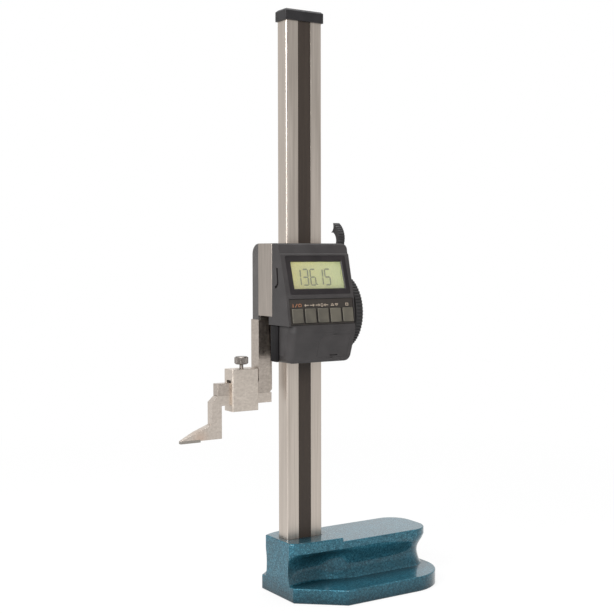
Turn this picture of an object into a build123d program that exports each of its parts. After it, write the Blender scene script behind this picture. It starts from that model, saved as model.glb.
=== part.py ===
"""Digital height gauge: a cast base, a ground column and a display head that slides on it.

Millimetres. +Z up, the display faces -Y, the scriber points to -X.
The origin is on the resting plane, on the column's axis.
"""
import os
from math import atan2, cos, hypot, sin

from build123d import *

os.makedirs("parts", exist_ok=True)

# ================================================================ driving dimensions
# Clearances
SLIDE_GAP = 0.1      # between flat sliding faces
RUN_GAP = 0.05       # radial, between a shaft and its bush
SEAT_GAP = 0.15      # around a part that drops into a pocket
CLEAR_GAP = 0.3      # between moving parts that don't touch
SCREW_PLAY = 0.2     # radial, round a screw and its head
SURPLUS = 1.0        # how far a cutting shape runs past what it cuts
PICK = 0.05          # how near its place an edge must be to be picked out

# Screws: shank radius, head radius, head height, hexagon radius, hexagon depth
COLUMN_SCREW = (3.0, 5.0, 6.2, 2.9, 3.0)
JAW_SCREW = (2.0, 3.5, 3.4, 1.7, 2.0)
COVER_SCREW = (1.2, 2.4, 2.4, 1.4, 1.4)
HOUSING_SCREW = (0.95, 2.9, 2.4, 1.2, 1.2)
CAP_SCREW = (1.95, 3.95, 2.1, 1.4, 1.5)
WHEEL_SCREW = (1.2, 4.2, 1.8, 1.4, 1.3)

# Column
COLUMN_W = 34.5
COLUMN_D = 13.9
COLUMN_EDGE = 0.6
COLUMN_FOOT_Z = 14.0
COLUMN_LENGTH = 471.0
STRIP_X0, STRIP_X1 = -5.85, 6.4
STRIP_THICK = 0.8
STRIP_GLUE = 0.05
STRIP_TUCK = 4.2          # how far the strip runs down into the base
COLUMN_SCREW_X = 10.0
COLUMN_SCREW_REACH = 20.0
COLUMN_TAP_SPARE = 2.0    # depth of the column's tapped holes past the ends of the screws

# Column cap
CAP_OVERHANG = 1.35
CAP_SKIRT = 5.0           # how far it reaches down over the column
CAP_THICK = 4.3
CAP_EDGE = 1.6
CAP_CORNER = 0.6
CAP_SCREW_LENGTH = 13.0
CAP_TAP = 14.0

# Base casting
BASE_X0, BASE_X1 = -22.95, 122.5
FLANGE_H = 12.5
FLANGE_NOSE = 25.6        # half width at the column end
FLANGE_HALF = 55.1        # half width of the broad part
FLANGE_FLARE = 35.2       # length of the flare from one to the other
FLANGE_CORNER = 38.0
FLANGE_ROUND = 1.0
FLARE_ROUND = 1.5
FOOT_EDGE = 0.6
LIP_THICK = 6.0           # upright band round the top of the hand grip
LIP_ROUND = 1.0
BLOCK_RISE = 3.2          # block round the column, above the grip
BLOCK_X1 = 26.3
SOCKET_GAP = 0.35
RELIEF_FROM_BLOCK, RELIEF_FROM_END = 9.7, 18.5
RELIEF_HALF = 18.0
RELIEF_DEPTH = 1.2

# The base's upper body at rising heights above its foot. Each row has that height, the half
# widths at the nose, behind it, at the waist and at the rear, how far the rear end draws in,
# and its corner radius.
NOSE_RUN = 8.95           # from the nose back to the row of widths behind it
WAIST_X, REAR_X = 8.0, 50.0
SPLAY_RUN = 6.0           # run over which the sides turn in at the nose
GRIP_SECTIONS = [
    (-0.5, 21.0, 19.2, 17.6, 26.6, 1.0, 20.0),
    (2.0, 18.6, 15.8, 14.6, 24.2, 3.2, 19.0),
    (6.5, 17.7, 14.4, 13.0, 22.8, 4.7, 18.0),
    (12.5, 17.4, 13.8, 12.4, 22.3, 5.2, 18.0),
    (18.5, 17.8, 15.8, 14.6, 23.8, 3.7, 18.5),
    (23.5, 18.7, 20.4, 20.5, 26.0, 1.2, 19.5),
    (26.5, 18.9, 23.2, 25.5, 26.8, 0.0, 20.0),
]

# Sliding head. READING is the height of the scriber's measuring face, which the display
# shows. Each RISE is a height above that face and each UP a height above the slider's foot,
# so the head moves with the reading.
READING = 136.15
BODY_RISE = 100.85
BODY_H = 59.4             # height of the slider, the rear cover and the housing's upper part
ARM_FROM_CHANNEL = 8.6    # of the slider's left part, between the column and the jaw's arm
BODY_WALL = 5.85          # beside the gib
BODY_FRONT = 12.25        # in front of the column
BODY_Y1 = 2.7
BODY_EDGE = 0.4
COVER_BELOW = 3.5         # how far the rear cover reaches below the slider
COVER_THICK = 10.75
COVER_ROUND = 9.0
COVER_EDGE = 1.6
GIB_THICK = 2.1
GIB_SHORT = 3.0           # how far the gib stops short of each end of the slider
GIB_SCREW_UPS = (17.0, 37.0)
GIB_SCREW_Y = -1.5
GIB_SCREW_R = 1.45
GIB_SOCKET_R = 0.75
COVER_SCREW_LEFT, COVER_SCREW_RIGHT = 4.15, 2.9    # from the channel, and from the right side
COVER_SCREWS_LEFT_UP, COVER_SCREWS_RIGHT_UP = (6.0, 43.0), (6.0, 27.0)
COVER_SCREW_SUNK = 3.0
COVER_SCREW_LENGTH = 14.0
JAW_SCREW_UPS = (13.0, 37.0)
JAW_SCREW_INSET = 7.2
JAW_SCREW_LENGTH = 14.0

# Read head of the capacitive scale
READ_LAP_X0, READ_LAP_X1 = 4.15, 4.0     # how far it runs past each side of the scale
READ_ABOVE_ROLLER = 8.15
READ_H = 32.0
READ_DEPTH = 8.2
READ_STAND_OFF = 0.35     # from the scale
READ_EDGE = 0.6

# Measuring jaw
ARM_W = 12.85
ARM_THICK = 12.3
ARM_CORNER = 2.2
TONGUE_INSET = 1.6
TONGUE_THICK = 6.5
TONGUE_UP = 47.0
JAW_REACH = 38.6
JAW_THICK = 7.65
JAW_RISE, JAW_H = 36.45, 9.75

# Scriber
SHANK_H = 8.3
SHANK_SHORT = 0.4         # how far the shank stops inside the jaw's outer face
LEG_FROM_CLAMP, LEG_W = 8.25, 9.1
LEG_RISE = 1.3
SHOULDER_X, SHOULDER_Z = 5.5, 5.0    # slope at the top of the leg
BLADE_RISE = 13.3
BLADE_REACH = 28.25
TIP_FLAT = 0.2
TIP_WIDTH = 3.05
TIP_TAPER = 14.0          # length over which the blade narrows to its tip
INSERT_LENGTH = 17.85
INSERT_H = 2.15

# Scriber clamp
CLAMP_FROM_ARM, CLAMP_W = 2.05, 24.4
CLAMP_FRONT, CLAMP_BACK = 3.15, 3.2      # walls before and behind the slot
CLAMP_FLOOR, CLAMP_ROOF = 5.3, 9.1       # walls below and above it
CLAMP_EDGE = 0.5
CLAMP_FIT = 0.05
PAD_ROOM = 0.7            # above the pad
PAD_R = 3.4
PAD_THICK = 1.3
THUMB_SHANK_R = 1.6
THUMB_HEAD_R = 5.4
THUMB_GAP = 3.6
THUMB_H = 6.3
THUMB_EDGE = 0.7

# Display housing. Its side view is a stack of flat faces from the top edge down, each with a
# height, between corners that stand out in front of the slider.
TOP_H, BROW_H, WINDOW_FACE_H, BAND_H, CHIN_H = 8.2, 0.8, 33.8, 4.9, 24.9
TOP_OUT, BROW_OUT, WINDOW_TOP_OUT, WINDOW_FOOT_OUT = 9.0, 11.2, 12.4, 22.4
KEYS_FACE_OUT = 3.8       # how far the keys' face, the band and the chin each lean out or in
BAND_OUT = 0.2
CHIN_IN = 7.4
TOP_ROUND, CHIN_ROUND, HEEL_ROUND = 2.4, 5.0, 2.2
HOUSING_OVER = 2.7        # how far it stands past the slider's right side at the top
HOUSING_TAPER = 4.0       # how far the right side draws in towards the bottom
SHOULDER_ROUND, HIP_ROUND = 4.5, 5.5
LOWER_INSET = 2.4         # the part below the slider is set in a little on the left
LOWER_BELOW = 6.8         # and starts this far below the slider
LOWER_BACK = 5.2          # and reaches this far back past the slider's front
LOWER_ROUND = 6.0         # upright front left corner of that part
WALL = 2.4
HOUSING_OPEN_INSET = 3.3
HOUSING_OPEN_SHORT = 3.4
HOUSING_SCREW_LEFT, HOUSING_SCREW_RIGHT = 5.8, 5.3   # in from the slider's two sides
UPPER_LEFT_DOWN, UPPER_RIGHT_DOWN = 9.4, 8.4         # below the slider's top
UPPER_LEFT_PAST, UPPER_RIGHT_PAST = 0.5, 0.0         # length of their posts past the top edge
LOWER_LEFT_DOWN = 4.1                                # below the foot of the window's face
LOWER_LEFT_SHORT = 1.4                               # its post ends this far behind that foot
HOUSING_SCREW_LENGTH = 11.5
HOUSING_LEDGE = 6.0       # thickness of the slider under each of their heads
POST_BORE_SPARE = 0.5     # depth of the posts' bores past the ends of the screws
POST_R = 3.0
BOARD_POST_R = 1.6
BOARD_POST_INSET = 7.0
BOARD_POST_DOWN = 2.1     # below the foot of the window's face
HOOK_SLOT = [(7.8, 39.5), (9.0, 27.5), (7.8, 24.8), (4.6, 23.6)]    # (out, up)
HOOK_SLOT_W = 2.2
HOOK_SLOT_DEPTH = 1.2

# Display window and its frame
BEZEL_FROM_LEFT, BEZEL_FROM_RIGHT = 4.1, 4.4
BEZEL_FROM_FOOT, BEZEL_FROM_TOP = 1.4, 1.0
BEZEL_CORNER = 1.5
BEZEL_DEPTH = 1.3
BEZEL_THICK = 1.0
BEZEL_SLOPE = 0.8
FRAME_LEFT, FRAME_RIGHT, FRAME_BELOW, FRAME_ABOVE = 5.3, 4.4, 5.0, 4.8
LCD_LAP = 0.8             # how far the window and the panel run behind their frame
GLASS_THICK = 1.0
LCD_THICK = 2.0

# Keys
KEY_COUNT = 5
KEY_SPACE = 1.85          # between two keys
KEY_H = 11.6
KEY_CORNER = 0.8
KEY_EDGE = 0.4
KEY_MID_UP = 8.8          # middle of the keys, above the foot of their face
KEY_PROUD = 0.9
KEY_TRAVEL = 0.8
KEY_SKIRT = 0.7           # thickness of the flange that keeps a key in
KEY_SKIRT_LAP = 0.6
KEY_GAP = 0.25
KEYS_FROM_LEFT, KEYS_FROM_RIGHT = 2.2, 3.1    # the recessed panel, from the housing's sides
ROW_FROM_LEFT, ROW_FROM_RIGHT = 1.55, 1.05    # the row of keys, from the panel's ends
KEYS_BELOW, KEYS_ABOVE = 7.6, 13.8            # the panel, from the middle of the keys
KEYS_FACE_ABOVE = 1.6                         # rest of the keys' face, above the panel
KEYS_DEPTH = 1.5
PANEL_THICK = 1.2
PANEL_GAP = 0.4
KEY_BOARD_H = 14.6
KEY_BOARD_THICK = 1.2
KEY_BOARD_LAP = 2.0

# Circuit board
BOARD_FROM_POST, BOARD_FROM_RIGHT = 1.0, 10.0
BOARD_OUT = 7.4
BOARD_UP, BOARD_DOWN = 4.6, 4.4    # above the foot of the keys' face, below the window's top
BOARD_THICK = 1.6
SWITCH_W, SWITCH_DEPTH = 6.0, 3.0
CHIP_W, CHIP_H, CHIP_DEPTH, CHIP_UP = 16.0, 12.0, 1.5, 28.0

# Battery compartment
LID_FROM_RIGHT, LID_W = 7.5, 29.5
LID_UP, LID_H = 3.6, 19.6
LID_THICK = 1.5
LID_CORNER = 9.0
NAIL_SLOT_X, NAIL_SLOT_W, NAIL_SLOT_H, NAIL_SLOT_DEPTH = 1.5, 8.0, 1.2, 0.7
NAIL_SLOT_UP = 1.8
CELL_R = 10.0
CELL_THICK = 3.2

# Data port cover
PORT_OUT, PORT_BACK = 7.0, 3.3
PORT_UP = 0.8
PORT_ROUND, PORT_EDGE = 1.6, 0.7

# Hand wheel and drive
WHEEL_UP = 2.0
WHEEL_R = 32.2
WHEEL_THICK = 6.4
WHEEL_RIBS = 72
RIB_GROOVE = 1.2
WHEEL_RIM_BACK, WHEEL_DISH_BACK = 5.5, 1.6
WHEEL_RIM_FRONT, WHEEL_DISH_FRONT = 4.5, 2.4
WHEEL_HUB_R = 7.0
WHEEL_HUB_GAP = 1.0
WHEEL_SCREW_TAP = 8.0
WHEEL_SCREW_LENGTH = 7.0
ROLLING_R = 4.55          # on which the roller runs up the column
ROLLER_FROM_STRIP, ROLLER_W = 1.6, 8.0
ROLLER_ROOM = 0.6
SHAFT_R = 2.5
SHAFT_EDGE = 0.3
BUSH_R = 4.0
BUSH_FLANGE = 1.5
BUSH_FLANGE_THICK = 0.7
LUG_WALL = 5.4            # left of the roller's room
LUG_BELOW = 13.0          # how far the bearing lug reaches below the wheel's axis

# Slider lock
LOCK_Y = -3.0
LOCK_ABOVE_WHEEL = 45.0
LOCK_R = 2.5
LOCK_GAP = 0.1
LEVER_GAP, LEVER_THICK = 0.4, 6.4
LEVER_HUB_R = 6.5
LEVER_NECK_R = 4.6
LEVER_TIP_R = 5.5
LOCK_HEAD_R, LOCK_HEAD_H, LOCK_HEXAGON, LOCK_HEXAGON_DEPTH = 4.3, 2.6, 2.2, 2.0
# Outlines of the lever as (Y, Z) from the stud's axis: behind it upwards, in front downwards
LEVER_BACK = [(4.5, 4.5), (-3.5, 8.0), (-9.4, 13.5), (-7.8, 19.6), (-1.8, 21.8)]
LEVER_FRONT = [(-4.6, 29.9), (-9.6, 26.2), (-13.3, 17.5), (-11.5, 9.8), (-6.3, -1.0)]
LEVER_GROOVES = 9
LEVER_GROOVE_R = 0.35
GROOVES_FROM, GROOVES_TO = 0.06, 0.56    # shares of the front edge's length

# ================================================================ worked out from these
COLUMN_X = COLUMN_W / 2
COLUMN_Y = COLUMN_D / 2
COLUMN_TOP_Z = COLUMN_FOOT_Z + COLUMN_LENGTH
CAP_BOTTOM_Z = COLUMN_TOP_Z - CAP_SKIRT
CAP_TOP_Z = COLUMN_TOP_Z + CAP_THICK
GRIP_TOP_Z = FLANGE_H + GRIP_SECTIONS[-1][0]
LIP_H = GRIP_TOP_Z + LIP_THICK
BLOCK_H = LIP_H + BLOCK_RISE

COLUMN_TAP = COLUMN_SCREW_REACH + COLUMN_TAP_SPARE

BODY_Z0 = READING + BODY_RISE
HEAD_Z1 = BODY_Z0 + BODY_H
COVER_Z0 = BODY_Z0 - COVER_BELOW
BODY_Y0 = -COLUMN_Y - BODY_FRONT
COVER_Y1 = BODY_Y1 + COVER_THICK
CHANNEL_X = COLUMN_X + SLIDE_GAP
HEAD_X0 = -CHANNEL_X - ARM_FROM_CHANNEL - ARM_W
CHANNEL_Y0 = -COLUMN_Y - SLIDE_GAP
GIB_X1 = CHANNEL_X + GIB_THICK
BODY_X1 = GIB_X1 + BODY_WALL
GIB_SCREW_Z = [BODY_Z0 + up for up in GIB_SCREW_UPS]
JAW_SCREW_Z = [BODY_Z0 + up for up in JAW_SCREW_UPS]
COVER_SCREW_SPOTS = [
    (-CHANNEL_X - COVER_SCREW_LEFT, BODY_Z0 + up) for up in COVER_SCREWS_LEFT_UP
] + [
    (BODY_X1 - COVER_SCREW_RIGHT, BODY_Z0 + up) for up in COVER_SCREWS_RIGHT_UP
]
COVER_SEAT_Y = COVER_Y1 - COVER_SCREW_SUNK

ARM_X1 = HEAD_X0 + ARM_W
ARM_Y1 = BODY_Y1 + ARM_THICK
TONGUE_X0 = HEAD_X0 + TONGUE_INSET
TONGUE_Y1 = BODY_Y1 + TONGUE_THICK
TONGUE_Z1 = BODY_Z0 + TONGUE_UP
JAW_X0 = HEAD_X0 - JAW_REACH
JAW_Y1 = BODY_Y1 + JAW_THICK
JAW_SCREW_X = HEAD_X0 + JAW_SCREW_INSET
JAW_SEAT_Y = TONGUE_Y1 - JAW_SCREW[2] - SCREW_PLAY
JAW_Z0 = READING + JAW_RISE
JAW_Z1 = JAW_Z0 + JAW_H
SHANK_Z1 = JAW_Z0 - CLAMP_FIT
SHANK_Z0 = SHANK_Z1 - SHANK_H
CLAMP_X1 = HEAD_X0 - CLAMP_FROM_ARM
CLAMP_X0 = CLAMP_X1 - CLAMP_W
CLAMP_MID_X = (CLAMP_X0 + CLAMP_X1) / 2
SHANK_MID_Y = (BODY_Y1 + JAW_Y1) / 2
SLOT_Y0, SLOT_Y1 = BODY_Y1 - CLAMP_FIT, JAW_Y1 + CLAMP_FIT
PAD_Z0 = JAW_Z1 + CLAMP_FIT
PAD_Z1 = PAD_Z0 + PAD_THICK
SLOT_Z0, SLOT_Z1 = SHANK_Z0 - CLAMP_FIT, PAD_Z1 + PAD_ROOM
CLAMP_Z0, CLAMP_Z1 = SLOT_Z0 - CLAMP_FLOOR, SLOT_Z1 + CLAMP_ROOF
THUMB_Z0 = CLAMP_Z1 + THUMB_GAP
LEG_X1 = CLAMP_X0 - LEG_FROM_CLAMP
LEG_X0 = LEG_X1 - LEG_W
TIP_X = LEG_X0 - BLADE_REACH
INSERT_X = TIP_X + INSERT_LENGTH
INSERT_Z1 = READING + INSERT_H

WHEEL_Y = -COLUMN_Y - ROLLING_R
WHEEL_Z = BODY_Z0 + WHEEL_UP
ROLLER_R = ROLLING_R - CLEAR_GAP
ROLLER_X0 = STRIP_X1 + ROLLER_FROM_STRIP
ROLLER_X1 = ROLLER_X0 + ROLLER_W
ROLLER_POCKET_R = ROLLER_R + ROLLER_ROOM
LUG_X0 = ROLLER_X0 - ROLLER_ROOM - LUG_WALL
LUG_Z0 = WHEEL_Z - LUG_BELOW
READ_X0, READ_X1 = STRIP_X0 - READ_LAP_X0, STRIP_X1 + READ_LAP_X1
READ_Y1 = -COLUMN_Y - READ_STAND_OFF
READ_Y0 = READ_Y1 - READ_DEPTH
READ_Z0 = WHEEL_Z + ROLLER_POCKET_R + READ_ABOVE_ROLLER
READ_Z1 = READ_Z0 + READ_H
HOUSING_X1 = BODY_X1 + HOUSING_OVER
WHEEL_X0 = HOUSING_X1
WHEEL_X1 = WHEEL_X0 + WHEEL_THICK
LEVER_X0 = HOUSING_X1 + LEVER_GAP
LEVER_X1 = LEVER_X0 + LEVER_THICK
LOCK_Z = WHEEL_Z + LOCK_ABOVE_WHEEL

KEYS_FACE_H = KEY_MID_UP + KEYS_ABOVE + KEYS_FACE_ABOVE
KEYS_FOOT_OUT = WINDOW_FOOT_OUT + KEYS_FACE_OUT
CHIN_TOP_OUT = KEYS_FOOT_OUT + BAND_OUT
CHIN_FOOT_OUT = CHIN_TOP_OUT - CHIN_IN

# corners of the display housing's side view, as (Y, Z)
TOP = (BODY_Y0 - TOP_OUT, HEAD_Z1)
BROW = (BODY_Y0 - BROW_OUT, TOP[1] - TOP_H)
WINDOW_TOP = (BODY_Y0 - WINDOW_TOP_OUT, BROW[1] - BROW_H)
WINDOW_FOOT = (BODY_Y0 - WINDOW_FOOT_OUT, WINDOW_TOP[1] - WINDOW_FACE_H)
KEYS_FOOT = (BODY_Y0 - KEYS_FOOT_OUT, WINDOW_FOOT[1] - KEYS_FACE_H)
CHIN_TOP = (BODY_Y0 - CHIN_TOP_OUT, KEYS_FOOT[1] - BAND_H)
CHIN_FOOT = (BODY_Y0 - CHIN_FOOT_OUT, CHIN_TOP[1] - CHIN_H)
LOWER_X0 = HEAD_X0 + LOWER_INSET
LOWER_TOP_Z = BODY_Z0 - LOWER_BELOW
LOWER_BACK_Y = BODY_Y0 + LOWER_BACK
HOUSING_SEAT_Y = BODY_Y0 + HOUSING_LEDGE
HOUSING_SCREW_SPOTS = [
    (HEAD_X0 + HOUSING_SCREW_LEFT, HEAD_Z1 - UPPER_LEFT_DOWN, TOP_OUT + UPPER_LEFT_PAST),
    (BODY_X1 - HOUSING_SCREW_RIGHT, HEAD_Z1 - UPPER_RIGHT_DOWN, TOP_OUT + UPPER_RIGHT_PAST),
    (
        HEAD_X0 + HOUSING_SCREW_LEFT, WINDOW_FOOT[1] - LOWER_LEFT_DOWN,
        WINDOW_FOOT_OUT - LOWER_LEFT_SHORT,
    ),
]
BEZEL_X0, BEZEL_X1 = HEAD_X0 + BEZEL_FROM_LEFT, HOUSING_X1 - BEZEL_FROM_RIGHT
BEZEL_Z0, BEZEL_Z1 = WINDOW_FOOT[1] + BEZEL_FROM_FOOT, WINDOW_TOP[1] - BEZEL_FROM_TOP
LCD_X0, LCD_X1 = BEZEL_X0 + FRAME_LEFT, BEZEL_X1 - FRAME_RIGHT
LCD_Z0, LCD_Z1 = BEZEL_Z0 + FRAME_BELOW, BEZEL_Z1 - FRAME_ABOVE
KEYS_X0, KEYS_X1 = HEAD_X0 + KEYS_FROM_LEFT, HOUSING_X1 - KEYS_FROM_RIGHT
KEY_ROW_X0, KEY_ROW_X1 = KEYS_X0 + ROW_FROM_LEFT, KEYS_X1 - ROW_FROM_RIGHT
KEY_ROW_X = (KEY_ROW_X0 + KEY_ROW_X1) / 2
KEY_ROW_W = KEY_ROW_X1 - KEY_ROW_X0
KEY_W = (KEY_ROW_W - (KEY_COUNT - 1) * KEY_SPACE) / KEY_COUNT
KEY_X = [KEY_ROW_X0 + KEY_W / 2 + (KEY_W + KEY_SPACE) * place for place in range(KEY_COUNT)]
KEY_MID_Z = KEYS_FOOT[1] + KEY_MID_UP
BOARD_X0 = HEAD_X0 + HOUSING_SCREW_LEFT + POST_R + BOARD_FROM_POST
BOARD_X1 = HOUSING_X1 - BOARD_FROM_RIGHT
BOARD_Y = BODY_Y0 - BOARD_OUT
BOARD_Z0, BOARD_Z1 = KEYS_FOOT[1] + BOARD_UP, WINDOW_TOP[1] - BOARD_DOWN
BOARD_POST_Z = WINDOW_FOOT[1] - BOARD_POST_DOWN
LID_X1 = HOUSING_X1 - LID_FROM_RIGHT
LID_Z0 = CHIN_FOOT[1] + LID_UP


# ================================================================ shared shapes
def block(x0, x1, y0, y1, z0, z1, mode=Mode.ADD):
    """A box between opposite corners, in the sub-part being built."""
    with Locations(((x0 + x1) / 2, (y0 + y1) / 2, (z0 + z1) / 2)):
        Box(x1 - x0, y1 - y0, z1 - z0, mode=mode)


def rod(start, direction, radius, length, mode=Mode.ADD):
    """A round bar from start along direction, in the sub-part being built."""
    with Locations(Plane(origin=start, z_dir=direction)):
        Cylinder(radius, length, align=(Align.CENTER, Align.CENTER, Align.MIN), mode=mode)


def along(start, direction, distance):
    """The point at a distance from start along direction."""
    return tuple(Vector(*start) + Vector(*direction) * distance)


def socket_screw(seat, direction, size, length):
    """A socket-head screw with its head on seat and its shank running along direction."""
    shank, head, height, hexagon, depth = size
    top = along(seat, direction, -height)
    with BuildPart() as screw:
        rod(top, direction, head, height)
        rod(seat, direction, shank, length)
        with BuildSketch(Plane(origin=top, z_dir=direction)):
            RegularPolygon(hexagon, 6)
        extrude(amount=depth, mode=Mode.SUBTRACT)
    return screw.part


def screw_hole(seat, direction, size, sunk, length):
    """Cut a counterbore of depth sunk above seat and a clearance hole of a length below it."""
    top = along(seat, direction, -sunk)
    rod(top, direction, size[1] + SCREW_PLAY, sunk, Mode.SUBTRACT)
    rod(seat, direction, size[0] + SCREW_PLAY, length, Mode.SUBTRACT)


def save(built, name):
    """Write one sub-part under its own name."""
    built.part.label = name
    export_step(built.part, f"parts/{name}.step")


# ================================================================ stand: base, column, cap
def grip_section(height, nose, behind, waist, rear, draw_in, corner):
    """Plan of the base's upper body at one height."""
    end_x = BASE_X1 - draw_in
    behind_x = BASE_X0 + NOSE_RUN
    splay = (nose - behind) / SPLAY_RUN
    with BuildSketch(Plane.XY.offset(height)) as section:
        with BuildLine():
            front = Spline(
                (BASE_X0, -nose), (behind_x, -behind), (WAIST_X, -waist), (REAR_X, -rear),
                tangents=[(1, splay), (1, 0)],
            )
            front_run = Line(front @ 1, (end_x - corner, -rear))
            front_corner = RadiusArc(front_run @ 1, (end_x, corner - rear), -corner)
            end_run = Line(front_corner @ 1, (end_x, rear - corner))
            back_corner = RadiusArc(end_run @ 1, (end_x - corner, rear), -corner)
            Line(back_corner @ 1, (REAR_X, rear))
            back = Spline(
                (REAR_X, rear), (WAIST_X, waist), (behind_x, behind), (BASE_X0, nose),
                tangents=[(-1, 0), (-1, splay)],
            )
            Line(back @ 1, front @ 0)
        make_face()
    return section.sketch


def column_block():
    """Raised block round the column's foot, cut off square behind it."""
    from_z = LIP_H - LIP_THICK / 2
    with BuildPart() as raised:
        extrude(grip_section(from_z, *GRIP_SECTIONS[-1][1:]), amount=BLOCK_H - from_z)
        block(
            BLOCK_X1, BASE_X1 + SURPLUS, -FLANGE_HALF, FLANGE_HALF, 0, BLOCK_H + SURPLUS,
            Mode.SUBTRACT,
        )
        fillet(raised.faces().sort_by(Axis.Z)[-1].edges(), LIP_ROUND)
    return raised.part


with BuildPart() as base_casting:
    # broad foot
    with BuildSketch():
        with BuildLine():
            flare = Polyline(
                (BASE_X1 - FLANGE_CORNER, FLANGE_HALF),
                (BASE_X0 + FLANGE_FLARE, FLANGE_HALF),
                (BASE_X0, FLANGE_NOSE),
                (BASE_X0, -FLANGE_NOSE),
                (BASE_X0 + FLANGE_FLARE, -FLANGE_HALF),
                (BASE_X1 - FLANGE_CORNER, -FLANGE_HALF),
            )
            near_corner = RadiusArc(flare @ 1, (BASE_X1, FLANGE_CORNER - FLANGE_HALF), -FLANGE_CORNER)
            end = Line(near_corner @ 1, (BASE_X1, FLANGE_HALF - FLANGE_CORNER))
            RadiusArc(end @ 1, flare @ 0, -FLANGE_CORNER)
        make_face()
    extrude(amount=FLANGE_H)
    uprights = base_casting.edges().filter_by(Axis.Z)
    fillet(uprights.filter_by(lambda e: e.center().X < BASE_X0 + FLANGE_FLARE + PICK), FLARE_ROUND)
    fillet(base_casting.faces().sort_by(Axis.Z)[-1].edges(), FLANGE_ROUND)
    chamfer(base_casting.faces().sort_by(Axis.Z)[0].edges(), FOOT_EDGE)

    # hand grip, hollowed all round between the foot and its lip
    loft([grip_section(FLANGE_H + row[0], *row[1:]) for row in GRIP_SECTIONS])
    extrude(grip_section(GRIP_TOP_Z, *GRIP_SECTIONS[-1][1:]), amount=LIP_THICK)
    fillet(base_casting.faces().sort_by(Axis.Z)[-1].edges(), LIP_ROUND)
    add(column_block())

    # socket, the two screws that hold the column from below, and the relieved underside
    block(
        -COLUMN_X - SOCKET_GAP, COLUMN_X + SOCKET_GAP, -COLUMN_Y - SOCKET_GAP,
        COLUMN_Y + SOCKET_GAP, COLUMN_FOOT_Z, BLOCK_H + SURPLUS, Mode.SUBTRACT,
    )
    column_seat_z = COLUMN_SCREW[2] + RELIEF_DEPTH
    for x in (-COLUMN_SCREW_X, COLUMN_SCREW_X):
        screw_hole((x, 0, column_seat_z), (0, 0, 1), COLUMN_SCREW, column_seat_z, COLUMN_FOOT_Z)
    block(
        BLOCK_X1 + RELIEF_FROM_BLOCK, BASE_X1 - RELIEF_FROM_END, -RELIEF_HALF, RELIEF_HALF,
        0, RELIEF_DEPTH, Mode.SUBTRACT,
    )
save(base_casting, "base_casting")

with BuildPart() as column_beam:
    block(-COLUMN_X, COLUMN_X, -COLUMN_Y, COLUMN_Y, COLUMN_FOOT_Z, COLUMN_TOP_Z)
    chamfer(column_beam.edges().filter_by(Axis.Z), COLUMN_EDGE)
    block(STRIP_X0, STRIP_X1, -COLUMN_Y, STRIP_THICK - COLUMN_Y, 0, COLUMN_TOP_Z, Mode.SUBTRACT)
    for x in (-COLUMN_SCREW_X, COLUMN_SCREW_X):
        rod((x, 0, COLUMN_FOOT_Z), (0, 0, 1), COLUMN_SCREW[0] + RUN_GAP, COLUMN_TAP, Mode.SUBTRACT)
    rod((0, 0, COLUMN_TOP_Z), (0, 0, -1), CAP_SCREW[0] + RUN_GAP, CAP_TAP, Mode.SUBTRACT)
save(column_beam, "column_beam")

with BuildPart() as column_screws:
    reach = COLUMN_FOOT_Z - column_seat_z + COLUMN_SCREW_REACH
    for x in (-COLUMN_SCREW_X, COLUMN_SCREW_X):
        add(socket_screw((x, 0, column_seat_z), (0, 0, 1), COLUMN_SCREW, reach))
save(column_screws, "column_screws")

with BuildPart() as scale_strip:
    block(
        STRIP_X0 + STRIP_GLUE, STRIP_X1 - STRIP_GLUE, STRIP_GLUE - COLUMN_Y, STRIP_THICK - COLUMN_Y,
        BLOCK_H - STRIP_TUCK, CAP_BOTTOM_Z,
    )
save(scale_strip, "scale_strip")

with BuildPart() as column_cap:
    cap_x, cap_y = COLUMN_X + CAP_OVERHANG, COLUMN_Y + CAP_OVERHANG
    block(-cap_x, cap_x, -cap_y, cap_y, CAP_BOTTOM_Z, CAP_TOP_Z)
    chamfer(column_cap.faces().sort_by(Axis.Z)[-1].edges(), CAP_EDGE)
    fillet(column_cap.edges().filter_by(Axis.Z), CAP_CORNER)
    block(
        -COLUMN_X - SEAT_GAP, COLUMN_X + SEAT_GAP, -COLUMN_Y - SEAT_GAP, COLUMN_Y + SEAT_GAP,
        CAP_BOTTOM_Z, COLUMN_TOP_Z, Mode.SUBTRACT,
    )
    rod((0, 0, COLUMN_TOP_Z), (0, 0, 1), CAP_SCREW[0] + SCREW_PLAY, CAP_THICK, Mode.SUBTRACT)
    with Locations((0, 0, CAP_TOP_Z)):
        Cone(
            CAP_SCREW[0] + SCREW_PLAY, CAP_SCREW[1] + SCREW_PLAY, CAP_SCREW[2],
            align=(Align.CENTER, Align.CENTER, Align.MAX), mode=Mode.SUBTRACT,
        )
save(column_cap, "column_cap")

with BuildPart() as cap_screw:
    cap_screw_top = CAP_TOP_Z - RUN_GAP
    with Locations((0, 0, cap_screw_top)):
        Cone(*CAP_SCREW[:3], align=(Align.CENTER, Align.CENTER, Align.MAX))
    rod((0, 0, cap_screw_top - CAP_SCREW[2]), (0, 0, -1), CAP_SCREW[0], CAP_SCREW_LENGTH)
    with BuildSketch(Plane.XY.offset(cap_screw_top)):
        RegularPolygon(CAP_SCREW[3], 6)
    extrude(amount=-CAP_SCREW[4], mode=Mode.SUBTRACT)
save(cap_screw, "cap_screw")


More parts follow.
